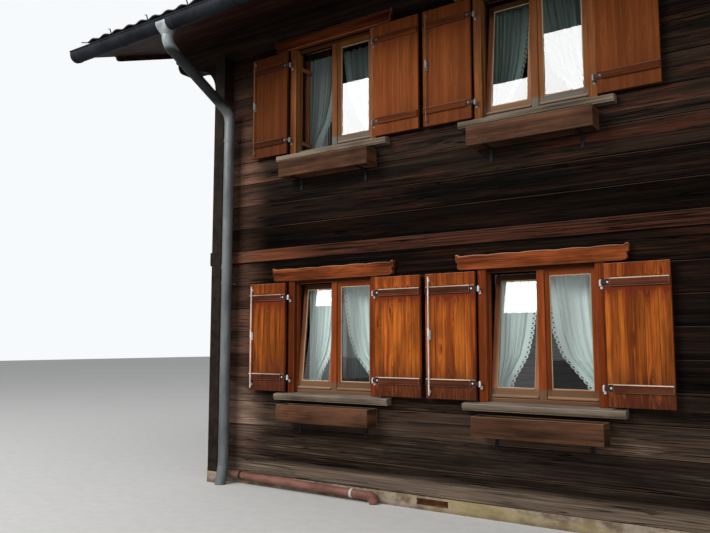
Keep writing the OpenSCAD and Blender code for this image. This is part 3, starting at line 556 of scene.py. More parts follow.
def end_grain(name, pale, deep):
    """Sawn ends: rings round the heart and drying cracks that run out from it."""
    f = Finish(name)
    grain = f.attribute("grain", "Vector")
    inputs = {"Vector": grain.stretch((0, 1, 1)), "Scale": 26, "Distortion": 3, "Detail": 2.0}
    rings = f.node("TexWave", inputs, "Fac", wave_type="RINGS", rings_direction="X")
    crack = grain.stretch((0, 16, 16)).cells(feature="DISTANCE_TO_EDGE").span(0, 0.035, 1, 0)
    f.colour = f.mix(rings.span(0.2, 0.8), deep, pale)
    f.shade(grain.noise((8, 8, 8)).span(0.3, 0.7, 0.6, 1.15) * (1 - crack * 0.7))
    f.bumped(rings * 0.3 - crack, 0.5)
    return f.finished(0.75, specular=0.05)


def log_wood():
    """Sun-blackened logs with reddish streaks, tan fibres, a pale foot and painted shade under the eaves."""
    f = Finish("log wood")
    grain = f.attribute("grain", "Vector")
    across, back, height = f.place().xyz()
    long_streak = grain.noise((0.35, 12, 12), 6, 0.66, 0.6)
    fine = grain.noise((1.3, 85, 85), 4, 0.62)
    patch = grain.noise((0.7, 5, 5), 4, 0.65, shift=(3, 1, 7))
    f.colour = f.mix(long_streak.span(0.38, 0.68), (0.0035, 0.0028, 0.0024), (0.0185, 0.0110, 0.0072))
    # Reddish streaks, more of them on the floor band and fewest near the ground
    band = (height > BAND_Z) * (height < STOREY_Z)
    reddish = patch.span(0.48, 0.7) * long_streak.span(0.35, 0.65)
    reddish = reddish * height.span(0.9, 1.8).span(0, 1, 0.3, 1)
    reddish = (reddish | band * fine.span(0.4, 0.6)) * 0.8
    f.over(reddish, (0.052, 0.016, 0.009))
    # The band's bright stretch, and the brown of the front wall's left corner
    glow = across.span(-5.7, -5.1) * across.span(-4.1, -4.8) * band * long_streak.span(0.3, 0.55, 0.4, 1)
    f.over(glow, (0.092, 0.029, 0.0135))
    corner = across.span(-4.95, -5.35) * patch.span(0.36, 0.6, 0.15, 0.75) * height.span(4.7, 4.3, 0.25, 1)
    beside_window = f.mix(height.span(2.6, 3.2), (0.115, 0.060, 0.040), (0.080, 0.042, 0.029))
    corner_tone = f.mix(height.span(1.3, 0.9), beside_window, (0.16, 0.098, 0.074))
    f.over(corner * back.span(-3.9, -4.15), corner_tone)
    # Paler towards the ground
    low = height.span(1, 0.6)
    f.over(low * patch.span(0.3, 0.65, 0.1, 0.6), (0.040, 0.027, 0.019))
    foot = height.span(0.30, 0.23) * long_streak.span(0.3, 0.52, 0.35, 1)
    f.over(foot, (0.135, 0.098, 0.071))
    fibre = fine.span(0.55, 0.7) * patch.span(0.40, 0.62, 0.03, 0.9) * low.span(0, 1, 0.38, 0.6)
    fibre_tone = f.mix(low, (0.050, 0.028, 0.018), f.mix(foot, (0.14, 0.10, 0.07), (0.36, 0.28, 0.2)))
    f.over(fibre, fibre_tone)
    # Drying cracks, and the shade under the eaves
    gate = grain.noise((0.8, 6, 6), shift=(2, 8, 5)).span(0.44, 0.56)
    small = grain.lines((1.1, 70, 70), 0.02, (4, 0, 3)) * patch.span(0.4, 0.5)
    crack = grain.lines((0.5, 24, 24), 0.018, (0, 5, 1), 0.25) * gate | small * 0.8
    rough_grain = fine.span(0.25, 0.75, -1, 1) * height.span(1.5, 0.7, 0.28, 0.5)
    shade = (rough_grain + 1) * height.span(4, 4.6, 1, 0.4) * (1 - crack * 0.9)
    f.shade(shade * (f.attribute("tint") * 0.4 + 1) | 0.05)
    # Black joints, partly painted shade on each log's downward arris, and a painted highlight on its upper
    # arris
    worn = f.attribute("worn")
    upward = f.upward()
    f.over(worn * upward.span(0, 0.5, 0.92, 0), (0.002, 0.0016, 0.0013))
    pale = worn * upward * patch.span(0.35, 0.6, 0.25, 0.9) * 0.65
    f.over(pale, f.mix(foot, (0.085, 0.050, 0.032), (0.3, 0.24, 0.18)))
    f.bumped(fine * 0.6 - crack, 0.9, 0.004)
    return f.finished(0.85, specular=0.02)


def clay_pipe():
    """Glazed drain with a dark strap at its left end and a bright one near its elbow."""
    f = Finish("drain clay")
    cloud = f.place().noise((3, 12, 12), 4, 0.6)
    f.colour = f.mix(cloud.span(0.35, 0.65), (0.115, 0.047, 0.032), (0.21, 0.092, 0.070))
    half_strap = 0.013
    along = f.place().xyz()[0]
    for strap, tone in ((-5.28, (0.012, 0.010, 0.009)), (-3.849, (0.45, 0.42, 0.38))):
        f.over(abs(along - strap) < half_strap, tone)
    return f.finished(0.6, specular=0.15)


def concrete():
    """Rough plinth, stained brown at the foot."""
    f = Finish("plinth concrete")
    place = f.place()
    coarse = place.noise((7, 7, 12), 5, 0.65)
    grit = place.noise(190, 2)
    f.colour = f.mix(coarse.span(0.35, 0.65), (0.12, 0.082, 0.056), (0.31, 0.25, 0.185))
    moss = place.noise((1.1, 1.1, 3), 4, 0.6, shift=(4, 2, 0)).span(0.5, 0.66)
    f.over(moss * 0.6, (0.30, 0.24, 0.105))
    f.over(place.xyz()[2].span(0.05, 0) * 0.45, (0.08, 0.058, 0.042))
    f.shade(grit.span(0.3, 0.7, 0.8, 1.15))
    f.bumped(grit * 0.5 + coarse, 0.5, 0.004)
    return f.finished(0.9, specular=0.2)


def zinc(name, colour, dark, metal=0.3, specular=0.25, shaded=None):
    """Weathered sheet: dull grey with cloudy bloom and faint runs down, with painted shade between two
    heights and painted light above them.
    """
    f = Finish(name)
    place = f.place()
    cloud = place.noise((5, 5, 2.2), 4, 0.6)
    runs = place.noise((42, 42, 1.3), 2)
    f.colour = f.mix((cloud * 0.7 + runs * 0.3).span(0.35, 0.62), dark, colour)
    if shaded:
        foot, head = shaded
        height = place.xyz()[2]
        # Painted shade between the two heights, and painted light above them
        painted_shade = height.span(foot - 0.06, foot + 0.04) * height.span(head + 0.03, head - 0.03)
        painted_light = height.span(head - 0.03, head + 0.03, 1, 2.5)
        f.shade(painted_light * painted_shade.span(0, 1, 1, 0.2))
    f.bumped(cloud, 0.08, 0.004)
    return f.finished(runs.span(0.3, 0.7, 0.48, 0.64), metal, specular)


def plain(name, colour, rough=0.5, metal=0, grit=180, depth=0.15, vary=0.15, specular=0.5, upstairs=1):
    """A plain painted, cast or plastic surface with a fine uneven skin."""
    f = Finish(name)
    place = f.place()
    fine = place.noise(grit)
    shade = fine.span(0.3, 0.7, -vary / 2, vary / 2) + place.noise(9).span(0.3, 0.7, 1 - vary, 1 + vary)
    if upstairs != 1:
        shade = shade * (place.xyz()[2] > STOREY_Z).span(0, 1, 1, upstairs)
    f.colour = colour
    f.shade(shade)
    f.bumped(fine, depth, 0.001)
    return f.finished(rough, metal, specular)


def roof_tile():
    """Dark matt tiles, each its own shade, with pale lichen bloom."""
    f = Finish("roof tile")
    place = f.place()
    grit = place.noise(160)
    cloud = place.noise(3.5, 4, 0.65)
    f.colour = f.mix(cloud.span(0.35, 0.7), (0.045, 0.042, 0.04), (0.105, 0.098, 0.09))
    f.shade((f.attribute("tint") * 0.25 + 1) * grit.span(0.3, 0.7, 0.85, 1.15))
    f.over(place.noise(26).span(0.62, 0.72) * 0.35, (0.24, 0.25, 0.22))
    f.bumped(grit, 0.4)
    return f.finished(0.85, specular=0.25)


def soil_finish():
    f = Finish("soil")
    grit = f.place().noise(120, 4, 0.7)
    f.bumped(grit + f.place().cells(70), 0.9, 0.006)
    f.colour = f.mix(grit.span(0.35, 0.65), (0.018, 0.012, 0.009), (0.07, 0.045, 0.03))
    return f.finished(0.95, specular=0.1)


def window_glass():
    """Clear panes: they let the room be seen and mirror what is bright outside."""
    f = Finish("window glass")
    clear = f.node("BsdfTransparent", {"Color": (0.955, 0.985, 0.975)})
    gloss = f.node("BsdfGlossy", {"Color": (1, 1, 1), "Roughness": 0.0})
    leaving = f.node("NewGeometry", None, "Backfacing")
    share = f.node("Fresnel", {"IOR": 1.7}) * (1 - leaving)
    return f.surfaced(f.node("MixShader", {0: share, 1: clear, 2: gloss}))


def net(name, tone):
    """Thin net under a brown header, lace rings along its inner edge; the cloth's own map is in metres."""
    f = Finish(name)
    cloth = f.node("UVMap", None, "UV", uv_map="cloth")
    across, down, _ = cloth.xyz()
    ring_r, ring_step, header = 0.021, 0.043, 0.085
    turn = (down / ring_step).reckon("FRACT") - 0.5
    from_ring = f.node("CombineXYZ", {0: across - (ring_r + 0.001), 1: turn * ring_step})
    far = f.node("VectorMath", {0: from_ring}, "Value", operation="LENGTH")
    border = across < 2 * ring_r + 0.02
    weave = cloth.noise((420, 420, 1), 1)
    cover = border * weave.span(0.35, 0.65, 0.94, 1) + (1 - border) * weave.span(0.35, 0.65, 0.86, 0.96)
    kept = ((far < ring_r) | (across > ring_r + 0.012)) * (1 - (far < 0.46 * ring_r) * 0.85)
    cloth_tone = f.mix(down < header, tone, (0.03, 0.018, 0.012))
    white = f.node("BsdfDiffuse", {"Color": cloth_tone})
    glow = f.node("BsdfTranslucent", {"Color": cloth_tone})
    skin = f.node("MixShader", {0: 0.12, 1: white, 2: glow})
    gap = f.node("BsdfTransparent")
    return f.surfaced(f.node("MixShader", {0: cover * kept, 1: gap, 2: skin}))


LOG = log_wood()
LOG_END = end_grain("log ends", (0.03, 0.02, 0.014), (0.007, 0.0055, 0.0045))
LOWER_SHUTTER = wood(
    "lower shutter wood", (0.455, 0.119, 0.0165), (0.165, 0.034, 0.0068), (0.50, 0.30, 0.16),
    streaks=0.7, tint_share=0.24, knots=0.9, leaf_foot=STOREYS["lower"], runs=0.97, dark_arris=0.75,
    broad_scale=(0.5, 15, 15))
LOWER_BATTEN = wood(
    "lower batten wood", (0.105, 0.030, 0.014), (0.042, 0.013, 0.007), (0.58, 0.46, 0.36), stains=0.45,
    wear_and_highlight_share=1.0, cracks=0.6, edge_wear_and_highlight=0.25)
UPPER_SHUTTER = wood(
    "upper shutter wood", (0.172, 0.047, 0.0115), (0.122, 0.031, 0.0075), (0.24, 0.12, 0.055), streaks=0.35,
    stains=0.12, cracks=0.1, knots=0.3, leaf_foot=STOREYS["upper"], runs=0.3, dark_arris=0.15)
UPPER_BATTEN = wood(
    "upper batten wood", (0.095, 0.024, 0.008), (0.055, 0.014, 0.005), (0.22, 0.11, 0.055), stains=0.25)
CASING = wood(
    "casing wood", (0.185, 0.037, 0.0085), (0.095, 0.019, 0.005), (0.34, 0.16, 0.07), stains=0.35,
    upstairs=(1.25, 2.2, 3.0))
LINTEL = wood(
    "lintel wood", (0.215, 0.050, 0.0125), (0.065, 0.014, 0.005), (0.40, 0.24, 0.14), stains=0.5,
    wear_and_highlight_share=0.9, streaks=0.8, cracks=0.5, upstairs=(0.7, 0.7, 0.9))
SILL = wood("sill wood", (0.19, 0.145, 0.105), (0.09, 0.066, 0.048), (0.30, 0.25, 0.2),
            rough=0.75, cracks=0.6)
WINDOW_LOOK = {"rough": 0.5, "specular": 0.05, "cracks": 0.1, "grey_foot": 0.85}
WINDOW_WOOD, FRAME_WOOD = (
    wood(name, (0.215, 0.044, 0.0085), (0.12, 0.023, 0.0045), (0.34, 0.19, 0.10), stains=0.2,
         upstairs=(0.85, 1.45, 2.1), dark_head=dark_head, **WINDOW_LOOK)
    for name, dark_head in (("window wood", None), ("window frame wood", (1.09, 1.115))))
TILTED_WOOD = wood("tilted sash wood", (0.31, 0.118, 0.056), (0.20, 0.070, 0.034), (0.34, 0.22, 0.13),
                   stains=0.3, dark_head=(0.93, 1.06), **WINDOW_LOOK)
BEAD_WOOD = wood("glazing bead wood", (0.48, 0.36, 0.22), (0.32, 0.22, 0.12), (0.55, 0.45, 0.32),
                 stains=0.2, cracks=0.1)
SOFFIT = wood("soffit wood", (0.045, 0.018, 0.012), (0.014, 0.007, 0.0055), (0.05, 0.025, 0.018))
BARGE = wood("barge wood", (0.05, 0.03, 0.028), (0.018, 0.012, 0.011), (0.06, 0.042, 0.036), along="y")
PURLIN = wood("roof timber", (0.030, 0.018, 0.013), (0.009, 0.006, 0.005), (0.05, 0.03, 0.02),
              along="x", cracks=0.6)
FLOOR = wood("floor boards", (0.36, 0.22, 0.12), (0.22, 0.13, 0.07), (0.4, 0.28, 0.18), along="x")
BOX_WOOD = wood("flower box wood", (0.10, 0.044, 0.023), (0.042, 0.020, 0.012), (0.22, 0.15, 0.10),
                stains=0.5, cracks=0.5)
ROD_WOOD = wood("curtain rod wood", (0.4, 0.25, 0.13), (0.28, 0.16, 0.08), (0.5, 0.34, 0.2), along="x")
DOOR_LEAF = wood("door planks", (0.25, 0.07, 0.018), (0.12, 0.032, 0.009), (0.36, 0.18, 0.09),
                 along="z", stains=0.35)
DOOR_CASING = wood("door casing", (0.185, 0.037, 0.008), (0.08, 0.016, 0.0045), (0.34, 0.16, 0.07), along="z")
ZINC = zinc("zinc", (0.130, 0.140, 0.142), (0.070, 0.077, 0.080), shaded=(4.12, 4.52))
# Much darker zinc for the gutters than for the pipes
GUTTER_ZINC = zinc("gutter zinc", (0.014, 0.016, 0.020), (0.005, 0.006, 0.008), metal=0.05, specular=0.06)
IRON = plain("black iron", (0.007, 0.007, 0.008), rough=0.65, metal=0.1, depth=0.3, specular=0.15)
STRAP_IRON = plain("strap iron", (0.026, 0.010, 0.008), rough=0.6, metal=0.1, depth=0.3, specular=0.2)
BRIGHT = plain("galvanised iron", (0.54, 0.55, 0.53), rough=0.55, metal=0.2, vary=0.2, specular=0.2,
               upstairs=0.3)
ROD = plain("bolt rod", (0.60, 0.47, 0.43), rough=0.55, vary=0.25, specular=0.2)
# A much darker bolt rod for the upstairs leaves
UPSTAIRS_ROD = plain("upstairs bolt rod", (0.12, 0.055, 0.026), rough=0.6, vary=0.25, specular=0.1)
RUST = plain("rusty iron", (0.085, 0.028, 0.011), rough=0.9, grit=240, depth=0.6, vary=0.5, specular=0.1)
TILE = roof_tile()
GLASS = window_glass()
NET = net("curtain net", (0.80, 0.87, 0.85))
# The same net darkened with painted shade, for the upstairs rooms
SHADED_NET = net("upstairs curtain net", (0.17, 0.205, 0.19))


def facing(direction):
    """The turn that makes a camera or lamp look along a direction."""
    return direction.to_track_quat("-Z", "Y").to_euler()


def camera():
    """The photograph's viewpoint: close to the wall's left half, looking left along it and a little up."""
    lens = bpy.data.cameras.new("camera")
    lens.lens = 36.66
    lens.sensor_width = 36
    lens.clip_end = 500
    eye = linked("camera", lens)
    eye.location = (0.171, -10.077, 1.493)
    eye.rotation_euler = facing(Vector((-0.562, 0.8205, 0.1055)))
    bpy.context.scene.camera = eye


def soft_light(name, place, target, size, radiance):
    """A large soft panel turned towards a point, given by how bright it looks."""
    light = bpy.data.lights.new(name, "AREA")
    light.shape = "RECTANGLE"
    light.size, light.size_y = size
    light.energy = radiance * math.pi * size[0] * size[1]
    lamp = linked(name, light)
    lamp.location = place
    lamp.rotation_euler = facing(Vector(target) - Vector(place))
    lamp.visible_camera = False


def surroundings():
    """Pale floor, pale even sky and soft panels."""
    scene = bpy.context.scene
    scene.view_settings.view_transform = "Standard"
    reach = 60
    floor_mesh = bpy.data.meshes.new("floor")
    corners = [(x * reach, y * reach, 0) for x, y in ((-1, -1), (1, -1), (1, 1), (-1, 1))]
    floor_mesh.from_pydata(corners, [], [(0, 1, 2, 3)])
    pale = plain("pale floor", (0.62, 0.61, 0.59), rough=0.9, depth=0.05, vary=0.03, specular=0.2)
    floor_mesh.materials.append(pale)
    linked("floor", floor_mesh)
    scene.world = bpy.data.worlds.new("pale sky")
    scene.world.use_nodes = True
    tree = scene.world.node_tree
    ambient = tree.nodes["Background"]
    fill(ambient.inputs["Color"], (0.93, 0.96, 1.0))
    fill(ambient.inputs["Strength"], 0.45)
    seen = Field(new_node(tree, "ShaderNodeBackground", {"Color": (0.93, 0.95, 0.97), "Strength": 1.0}))
    path = new_node(tree, "ShaderNodeLightPath")
    by_eye, by_gloss, through = (
        Field(path, f"Is {kind} Ray") for kind in ("Camera", "Glossy", "Transmission"))
    sky = {0: by_eye | by_gloss | through, 1: Field(ambient), 2: seen}
    fill(tree.nodes["World Output"].inputs["Surface"], Field(new_node(tree, "ShaderNodeMixShader", sky)))
    # The bright sky in front, open above a skyline that is lower at the far left
    sky_y, sky_top, brightness = -16.0, 13.0, 12.0
    for name, left, right, skyline in (("far sky", -13.9, -12.9, 5.0), ("front sky", -12.9, -4.6, 6.0)):
        middle = Vector(((left + right) / 2, sky_y, (skyline + sky_top) / 2))
        soft_light(name, middle, middle + Vector((0, 1, 0)), (right - left, sky_top - skyline), brightness)
    # A broad soft light from the right front, where no pane mirrors it towards the photograph's viewpoint
    soft_light("front panel", (7.0, -16.0, 5.0), (-3.0, -4.2, 2.0), (11.0, 8.0), 2.2)
    soft_light("side panel", (16.0, -6.0, 9.0), (2.0, 0.0, 2.5), (9.0, 7.0), 2.5)
    soft_light("back panel", (4.0, 17.0, 9.0), (0.0, 2.0, 2.5), (10.0, 7.0), 4.0)


camera()
surroundings()

# Nodes of the frame that keep their shape
KEPT = {
    concrete(): ("foundation",),
    FLOOR: ("ground_floor", "upper_floor", "attic_floor", "inner_walls"),
    PURLIN: ("purlins", "purlin_brackets", "rafters", "roof_boards"),
    BARGE: ("barge_boards",),
    GUTTER_ZINC: ("gutters",),
    ZINC: ("downpipes", "swan_necks", "pipe_clips"),
    BRIGHT: ("shutter_pins",),
    clay_pipe(): ("drain_pipe",),
    GLASS: ("front_glass", "rear_glass"),
    ROD_WOOD: ("curtain_rods",),
    soil_finish(): ("box_soil",),
    DOOR_LEAF: ("front_door",),
    DOOR_CASING: ("door_frame",),
}
for finish, names in KEPT.items():
    for name in names:
        node_materials = frame["nodes"][name].data.materials
        node_materials.clear()
        node_materials.append(finish)


def joint_height(z, x, joint):
    """A joint between two logs: nearly level, with a hand-hewn wander that goes by the joint's number."""
    return z + 0.0016 * math.sin(1.3 * x + 7.1 * joint) + 0.0009 * math.sin(3.7 * x + 2.9 * joint)


def log_row(wall, low, high, ends, openings, out=0.0, joints=(0, 1), slope=None):
    """One course of a wall, cut and notched round the openings that it meets."""
    edge = 0.001
    step = 0.45
    cuts = [o for o in openings if o[2] <= low + edge and o[3] >= high - edge]
    stops = [ends[0]] + sorted(x for o in cuts for x in o[:2]) + [ends[1]]
    for start, stop in zip(stops[::2], stops[1::2]):
        xs = np.linspace(start, stop, max(2, int((stop - start) / step) + 1))
        foot, head = ([(x, joint_height(z, x, joint)) for x in xs] for z, joint in zip((low, high), joints))
        if slope:
            side = slope(high)
            tips = [(-side, high), (side, high)] if side > edge else [(0.0, high)]
            if low < LOW_SHOULDER[1] < high:
                tips = [(-LOW_SHOULDER[0], LOW_SHOULDER[1])] + tips + [LOW_SHOULDER]
            middle = len(tips) // 2
            head = [(x, z) for x, z in head if abs(x) < min(slope(z), side) - edge]
            head = tips[:middle] + head + tips[middle:]
        foot, head = (
            notched(line, [(o[0], o[1], o[i]) for o in openings
                           if low + edge < o[i] < high - edge and start < o[0] < stop])
            for line, i in ((foot, 3), (head, 2)))
        wall.board(foot + head[::-1], -out, LOG_T, arris=LOG_ARRIS, cut_finish=1)


def notched(line, notches):
    """A line of points with square notches to a height let into it."""
    for x0, x1, z in notches:
        before = [p for p in line if p[0] < x0]
        after = [p for p in line if p[0] > x1]
        line = before + [(x0, before[-1][1]), (x0, z), (x1, z), (x1, after[0][1])] + after
    return line


def wall_openings(columns):
    """Window openings of a wall: their two sides, foot and head."""
    return [(x - WINDOW_HALF, x + WINDOW_HALF, z + WINDOW_FOOT, z + WINDOW_TOP)
            for x in columns for z in STOREYS.values()]


def storey_courses(shift):
    """Foot and head of each course of both storeys, raised by a shift that leaves two half courses."""
    for base in (PLINTH_TOP, STOREY_Z):
        inner = [base + shift + i * LOG_H for i in range(0 if shift else 1, COURSES)]
        yield from zip([base] + inner, inner + [base + COURSES * LOG_H])


# Paler and darker courses of the long walls, from the plinth up, and the floor band
COURSE_TONES = (
    -0.4, 0.5, 4.0, 1.2, -0.2, 0.5, 0.2, -0.4, -0.8, -1.8, -1.0, 0.7, 3.6, 1.0, 0.3, 0.0, 0.8, 0.8)
BAND_TONE = 1.2


def long_wall(openings):
    wall = Shape()
    ends = (-HALF_L - LOG_HEAD, HALF_L + LOG_HEAD)
    for i, (low, high) in enumerate(storey_courses(0)):
        wall.tone = COURSE_TONES[i]
        log_row(wall, low, high, ends, openings, joints=(i, i + 1))
    wall.tone = BAND_TONE
    log_row(wall, BAND_Z, STOREY_Z, ends, [], out=BAND_OUT, joints=(COURSES - 1, COURSES))
    return wall


def gable_half_width(z):
    """Half the gable's width at a height above the plates."""
    return min(HALF_D - LOG_T, HALF_D - (z - SOFFIT_Z) / SLOPE)


def gable_wall():
    wall = Shape()
    ends = (-HALF_D - LOG_HEAD, HALF_D + LOG_HEAD)
    for i, (low, high) in enumerate(storey_courses(LOG_H / 2), FIRST_GABLE_JOINT):
        log_row(wall, low, high, ends, wall_openings(GABLE_COLUMNS), joints=(i, i + 1))
    joint = FIRST_GABLE_JOINT + COURSES + 1
    log_row(wall, BAND_Z, STOREY_Z, ends, [], out=BAND_OUT, joints=(joint, joint + 1))
    low = PLATE_Z
    while low < RIDGE_Z - 0.01:
        high = min(low + LOG_H, RIDGE_Z)
        side = gable_half_width(low)
        attic = [(-ATTIC_HALF, ATTIC_HALF, ATTIC_Z, ATTIC_Z + ATTIC_H)]
        log_row(wall, low, high, (-side, side), attic, slope=gable_half_width)
        low = high
    return wall


DOOR = (-DOOR_HALF, DOOR_HALF, PLINTH_TOP, PLINTH_TOP + DOOR_H)
FRONT_NODES = ["front_wall_left", "front_wall_right", "front_band", "front_wall_upper"]
for name, wall, place, nodes in (
        ("front", long_wall(wall_openings(COLUMNS) + [DOOR]), AT_FRONT, FRONT_NODES),
        ("back", long_wall(wall_openings(COLUMNS)), AT_BACK, ["back_wall"]),
        ("left", gable_wall(), AT_LEFT, ["left_wall"]), ("right", gable_wall(), AT_RIGHT, ["right_wall"])):
    piece(f"{name}_logs", Shape().add(wall, place), "dark_logs", [LOG, LOG_END], stands_for=nodes, spread=0.5)


def casing():
    """Side casings with the lining of the reveal."""
    part = Shape()
    inner = WINDOW_HALF - 0.012
    boards = (CASING_EDGE, -CASING_OUT, -0.0005, 0.004), (WINDOW_HALF, 0, FRAME_Y, 0.001)
    for side in (-1, 1):
        for edge, near, far, arris in boards:
            x0, x1 = sorted((side * inner, side * edge))
            part.bar((x0, near, SILL_TOP), (x1, far, WINDOW_TOP), grain=2, arris=arris)
    return part


def lintel():
    """Carved head board: scalloped along the top, a horn over an ogee at each end."""
    belly = 0.026
    hollow = 0.022
    horn_w = 0.020
    horn_h = 0.014
    scallop = 0.007
    steps = 44
    edge_w = LINTEL_HALF - 2 * horn_w
    half = [(LINTEL_HALF - 2 * belly, 0.0)]
    half += arc(LINTEL_HALF - 0.042, belly + 0.004, belly, -90, 10, 9)
    half += arc(LINTEL_HALF, belly + hollow + 0.004, hollow, 200, 100, 7)
    half += [(LINTEL_HALF, LINTEL_H + horn_h - 0.002), (LINTEL_HALF - horn_w, LINTEL_H + horn_h)]
    for i in range(steps + 1):
        along = i / steps
        rise = scallop * abs(math.sin(2.6 * math.pi * along))
        half.append((edge_w * (1 - along), LINTEL_H - scallop / 2 + rise))
    outline = half + [(-x, z) for x, z in half[-2::-1]]
    return Shape().board([(x, z + WINDOW_TOP) for x, z in outline], -LINTEL_T, 0, arris=0.006)


def sill():
    """Sill board with a sloping nose, and its part in the reveal under the frame."""
    nose = [(0.0, SILL_TOP), (0.0, WINDOW_FOOT), (-0.085, WINDOW_FOOT), (-0.085, WINDOW_FOOT + 0.012),
            (-0.095, WINDOW_FOOT + 0.014), (-0.095, SILL_TOP - 0.022), (-0.090, SILL_TOP - 0.017)]
    part = Shape().sweep(nose, softened(-SILL_HALF, SILL_HALF, 0.004), arris=0.008)
    return part.bar((-WINDOW_HALF, 0.0005, WINDOW_FOOT), (WINDOW_HALF, FRAME_BACK, SILL_TOP))


def fixed_frame():
    """A frame that laps the reveal, with its post in the middle."""
    part = Shape()
    w, rail = WINDOW_HALF, 0.035
    lip_back = FRAME_Y + LIP_T
    part.ring((-w, FRAME_Y, SILL_TOP), (w, lip_back, WINDOW_TOP), 0.020, rail, rail, arris=0.003)
    part.ring((-w, lip_back, SILL_TOP), (w, FRAME_BACK, WINDOW_TOP), 0.012, 0.018, 0.018)
    foot, head = SILL_TOP + rail, WINDOW_TOP - rail
    part.bar((-POST_HALF, FRAME_Y, foot), (POST_HALF, lip_back, head), grain=2, arris=0.004)
    w = POST_HALF - 0.008
    return part.bar((-w, lip_back, foot), (w, FRAME_BACK, head), grain=2)


def sash():
    """The right leaf: stiles and rails, glazing beads round the pane and a weather bar at the foot."""
    low, high = (SASH_IN, SASH_Y, SASH_LOW), (SASH_OUT, SASH_Y + SASH_T, SASH_TOP)
    part = Shape().ring(low, high, STILE_W, RAIL_LOW, RAIL_TOP, arris=0.003)
    low = (SASH_IN + STILE_W, SASH_Y + 0.003, SASH_LOW + RAIL_LOW)
    high = (SASH_OUT - STILE_W, SASH_Y + 0.0115, SASH_TOP - RAIL_TOP)
    part.ring(low, high, 0.009, arris=0.0035, finish=1)
    weather = [(SASH_Y, 0.030), (SASH_Y, 0.056), (SASH_Y - 0.006, 0.056), (SASH_Y - 0.022, 0.040),
               (SASH_Y - 0.022, 0.032), (SASH_Y - 0.018, 0.030)]
    return part.sweep(weather, softened(SASH_IN + 0.012, SASH_OUT - 0.012, 0.003), arris=0.02)


def tilted(angle):
    """A left leaf's place: mirrored, and leaning into the room about its foot."""
    foot = Vector((0, SASH_Y, SASH_LOW))
    return moved(foot) @ Matrix.Rotation(-math.radians(angle), 4, "X") @ moved(-foot) @ MIRROR


def turned_back():
    """The place of a left leaf turned right back into the room."""
    pin = Vector((*BACK_PIN, 0))
    return moved(pin) @ TURN_ROUND @ moved(-pin) @ MIRROR


def cranked_arms():
    """Two arms that carry the turned leaf from the fixed frame."""
    part = Shape()
    start = -WINDOW_HALF + 0.0005
    leaf_x = 2 * BACK_PIN[0] + SASH_OUT
    leaf_y = 2 * BACK_PIN[1] - SASH_Y - SASH_T / 2
    thick, height = 0.012, 0.040
    for z in (SASH_LOW + RAIL_LOW, SASH_TOP - 2 * RAIL_LOW):
        corner = (start + thick, leaf_y, z + height)
        part.bar((start, FRAME_BACK, z), corner, grain=1)
        part.bar((leaf_x - thick, leaf_y - thick, z), corner)
    return part


def attic_window():
    """Casing and frame of the small light in a gable."""
    board, board_t, bar = 0.07, 0.025, 0.05
    w, z0, z1 = ATTIC_HALF, ATTIC_Z, ATTIC_Z + ATTIC_H
    low, high = (-w - board, -board_t, z0 - board), (w + board, 0, z1 + board)
    around = Shape().ring(low, high, board, arris=0.004)
    return around, Shape().ring((-w, board_t, z0), (w, board_t + bar, z1), bar, arris=0.003)


def windows():
    attic_casing, attic_frame = attic_window()
    for kind, part, finish, in_gables in (
            ("casing", casing(), CASING, attic_casing), ("lintel", lintel(), LINTEL, None),
            ("sill", sill(), SILL, None), ("frame", fixed_frame(), FRAME_WOOD, attic_frame)):
        slot = "window_wood" if kind == "frame" else f"{kind}_wood"
        for side, places in (("front", FRONT_PLACES), ("rear", REAR_PLACES)):
            made = Shape().add(part, *places)
            if side == "rear" and in_gables:
                made.add(in_gables, AT_LEFT, AT_RIGHT)
            piece(f"{side}_window_{kind}s", made, slot, [finish], stands_for=[f"{side}_{kind}s"])
    leaf = sash()
    front = Shape()
    for column, x in enumerate(COLUMNS, 1):
        for storey, z in STOREYS.items():
            place = AT_FRONT @ moved((x, 0, z))
            front.add(leaf, place)
            if x not in USED_COLUMNS:
                front.add(leaf, place @ tilted(0))
                continue
            if (storey, column) in TILTS:
                opened = Shape().add(leaf, place @ tilted(TILTS[storey, column]))
            else:
                opened = Shape().add(leaf, place @ turned_back()).add(cranked_arms(), place)
            node = f"{storey}_window_{column}_left_sash"
            piece(f"{node}_wood", opened, "window_wood", [TILTED_WOOD, BEAD_WOOD], stands_for=[node])
    rear = Shape().add(leaf, *REAR_PLACES, *(place @ tilted(0) for place in REAR_PLACES))
    for side, made in (("front", front), ("rear", rear)):
        name = f"{side}_window_sashes"
        piece(name, made, "window_wood", [WINDOW_WOOD, BEAD_WOOD], stands_for=[f"{side}_sashes"])


windows()


def leaf_wood(joint):
    """A right shutter leaf, open, from its hinge's axis: boards in joints of V, and two undercut battens."""
    part = Shape()
    joints = [0, 0.2, 0.41, 0.6, 0.81, 1]
    for a, b in zip(joints, joints[1:]):
        low = (LEAF_IN + a * LEAF_W, LEAF_FRONT, 0)
        part.bar(low, (LEAF_IN + b * LEAF_W, LEAF_BACK, LEAF_H), grain=2, arris=joint)
    face = LEAF_FRONT - BATTEN_T
    soft, chamfer = 0.004, 0.008
    start, stop = LEAF_IN + STRAP_L + 0.002, LEAF_IN + LEAF_W - 0.006
    for z in BATTENS:
        top = z + BATTEN_H
        outline = [(LEAF_FRONT, z + 0.003), (LEAF_FRONT, top - 0.001), (face + chamfer, top),
                   (face, top - chamfer), (face, z + soft), (face + soft, z)]
        part.sweep(outline, softened(start, stop, soft), finish=1, arris=1.2 * chamfer)
        tongue = (LEAF_IN + 0.002, LEAF_FRONT - STRAP_T, z + 0.002)
        part.bar(tongue, (start + 0.002, LEAF_FRONT + 0.001, top - 0.001), arris=0.003, finish=1)
    return part


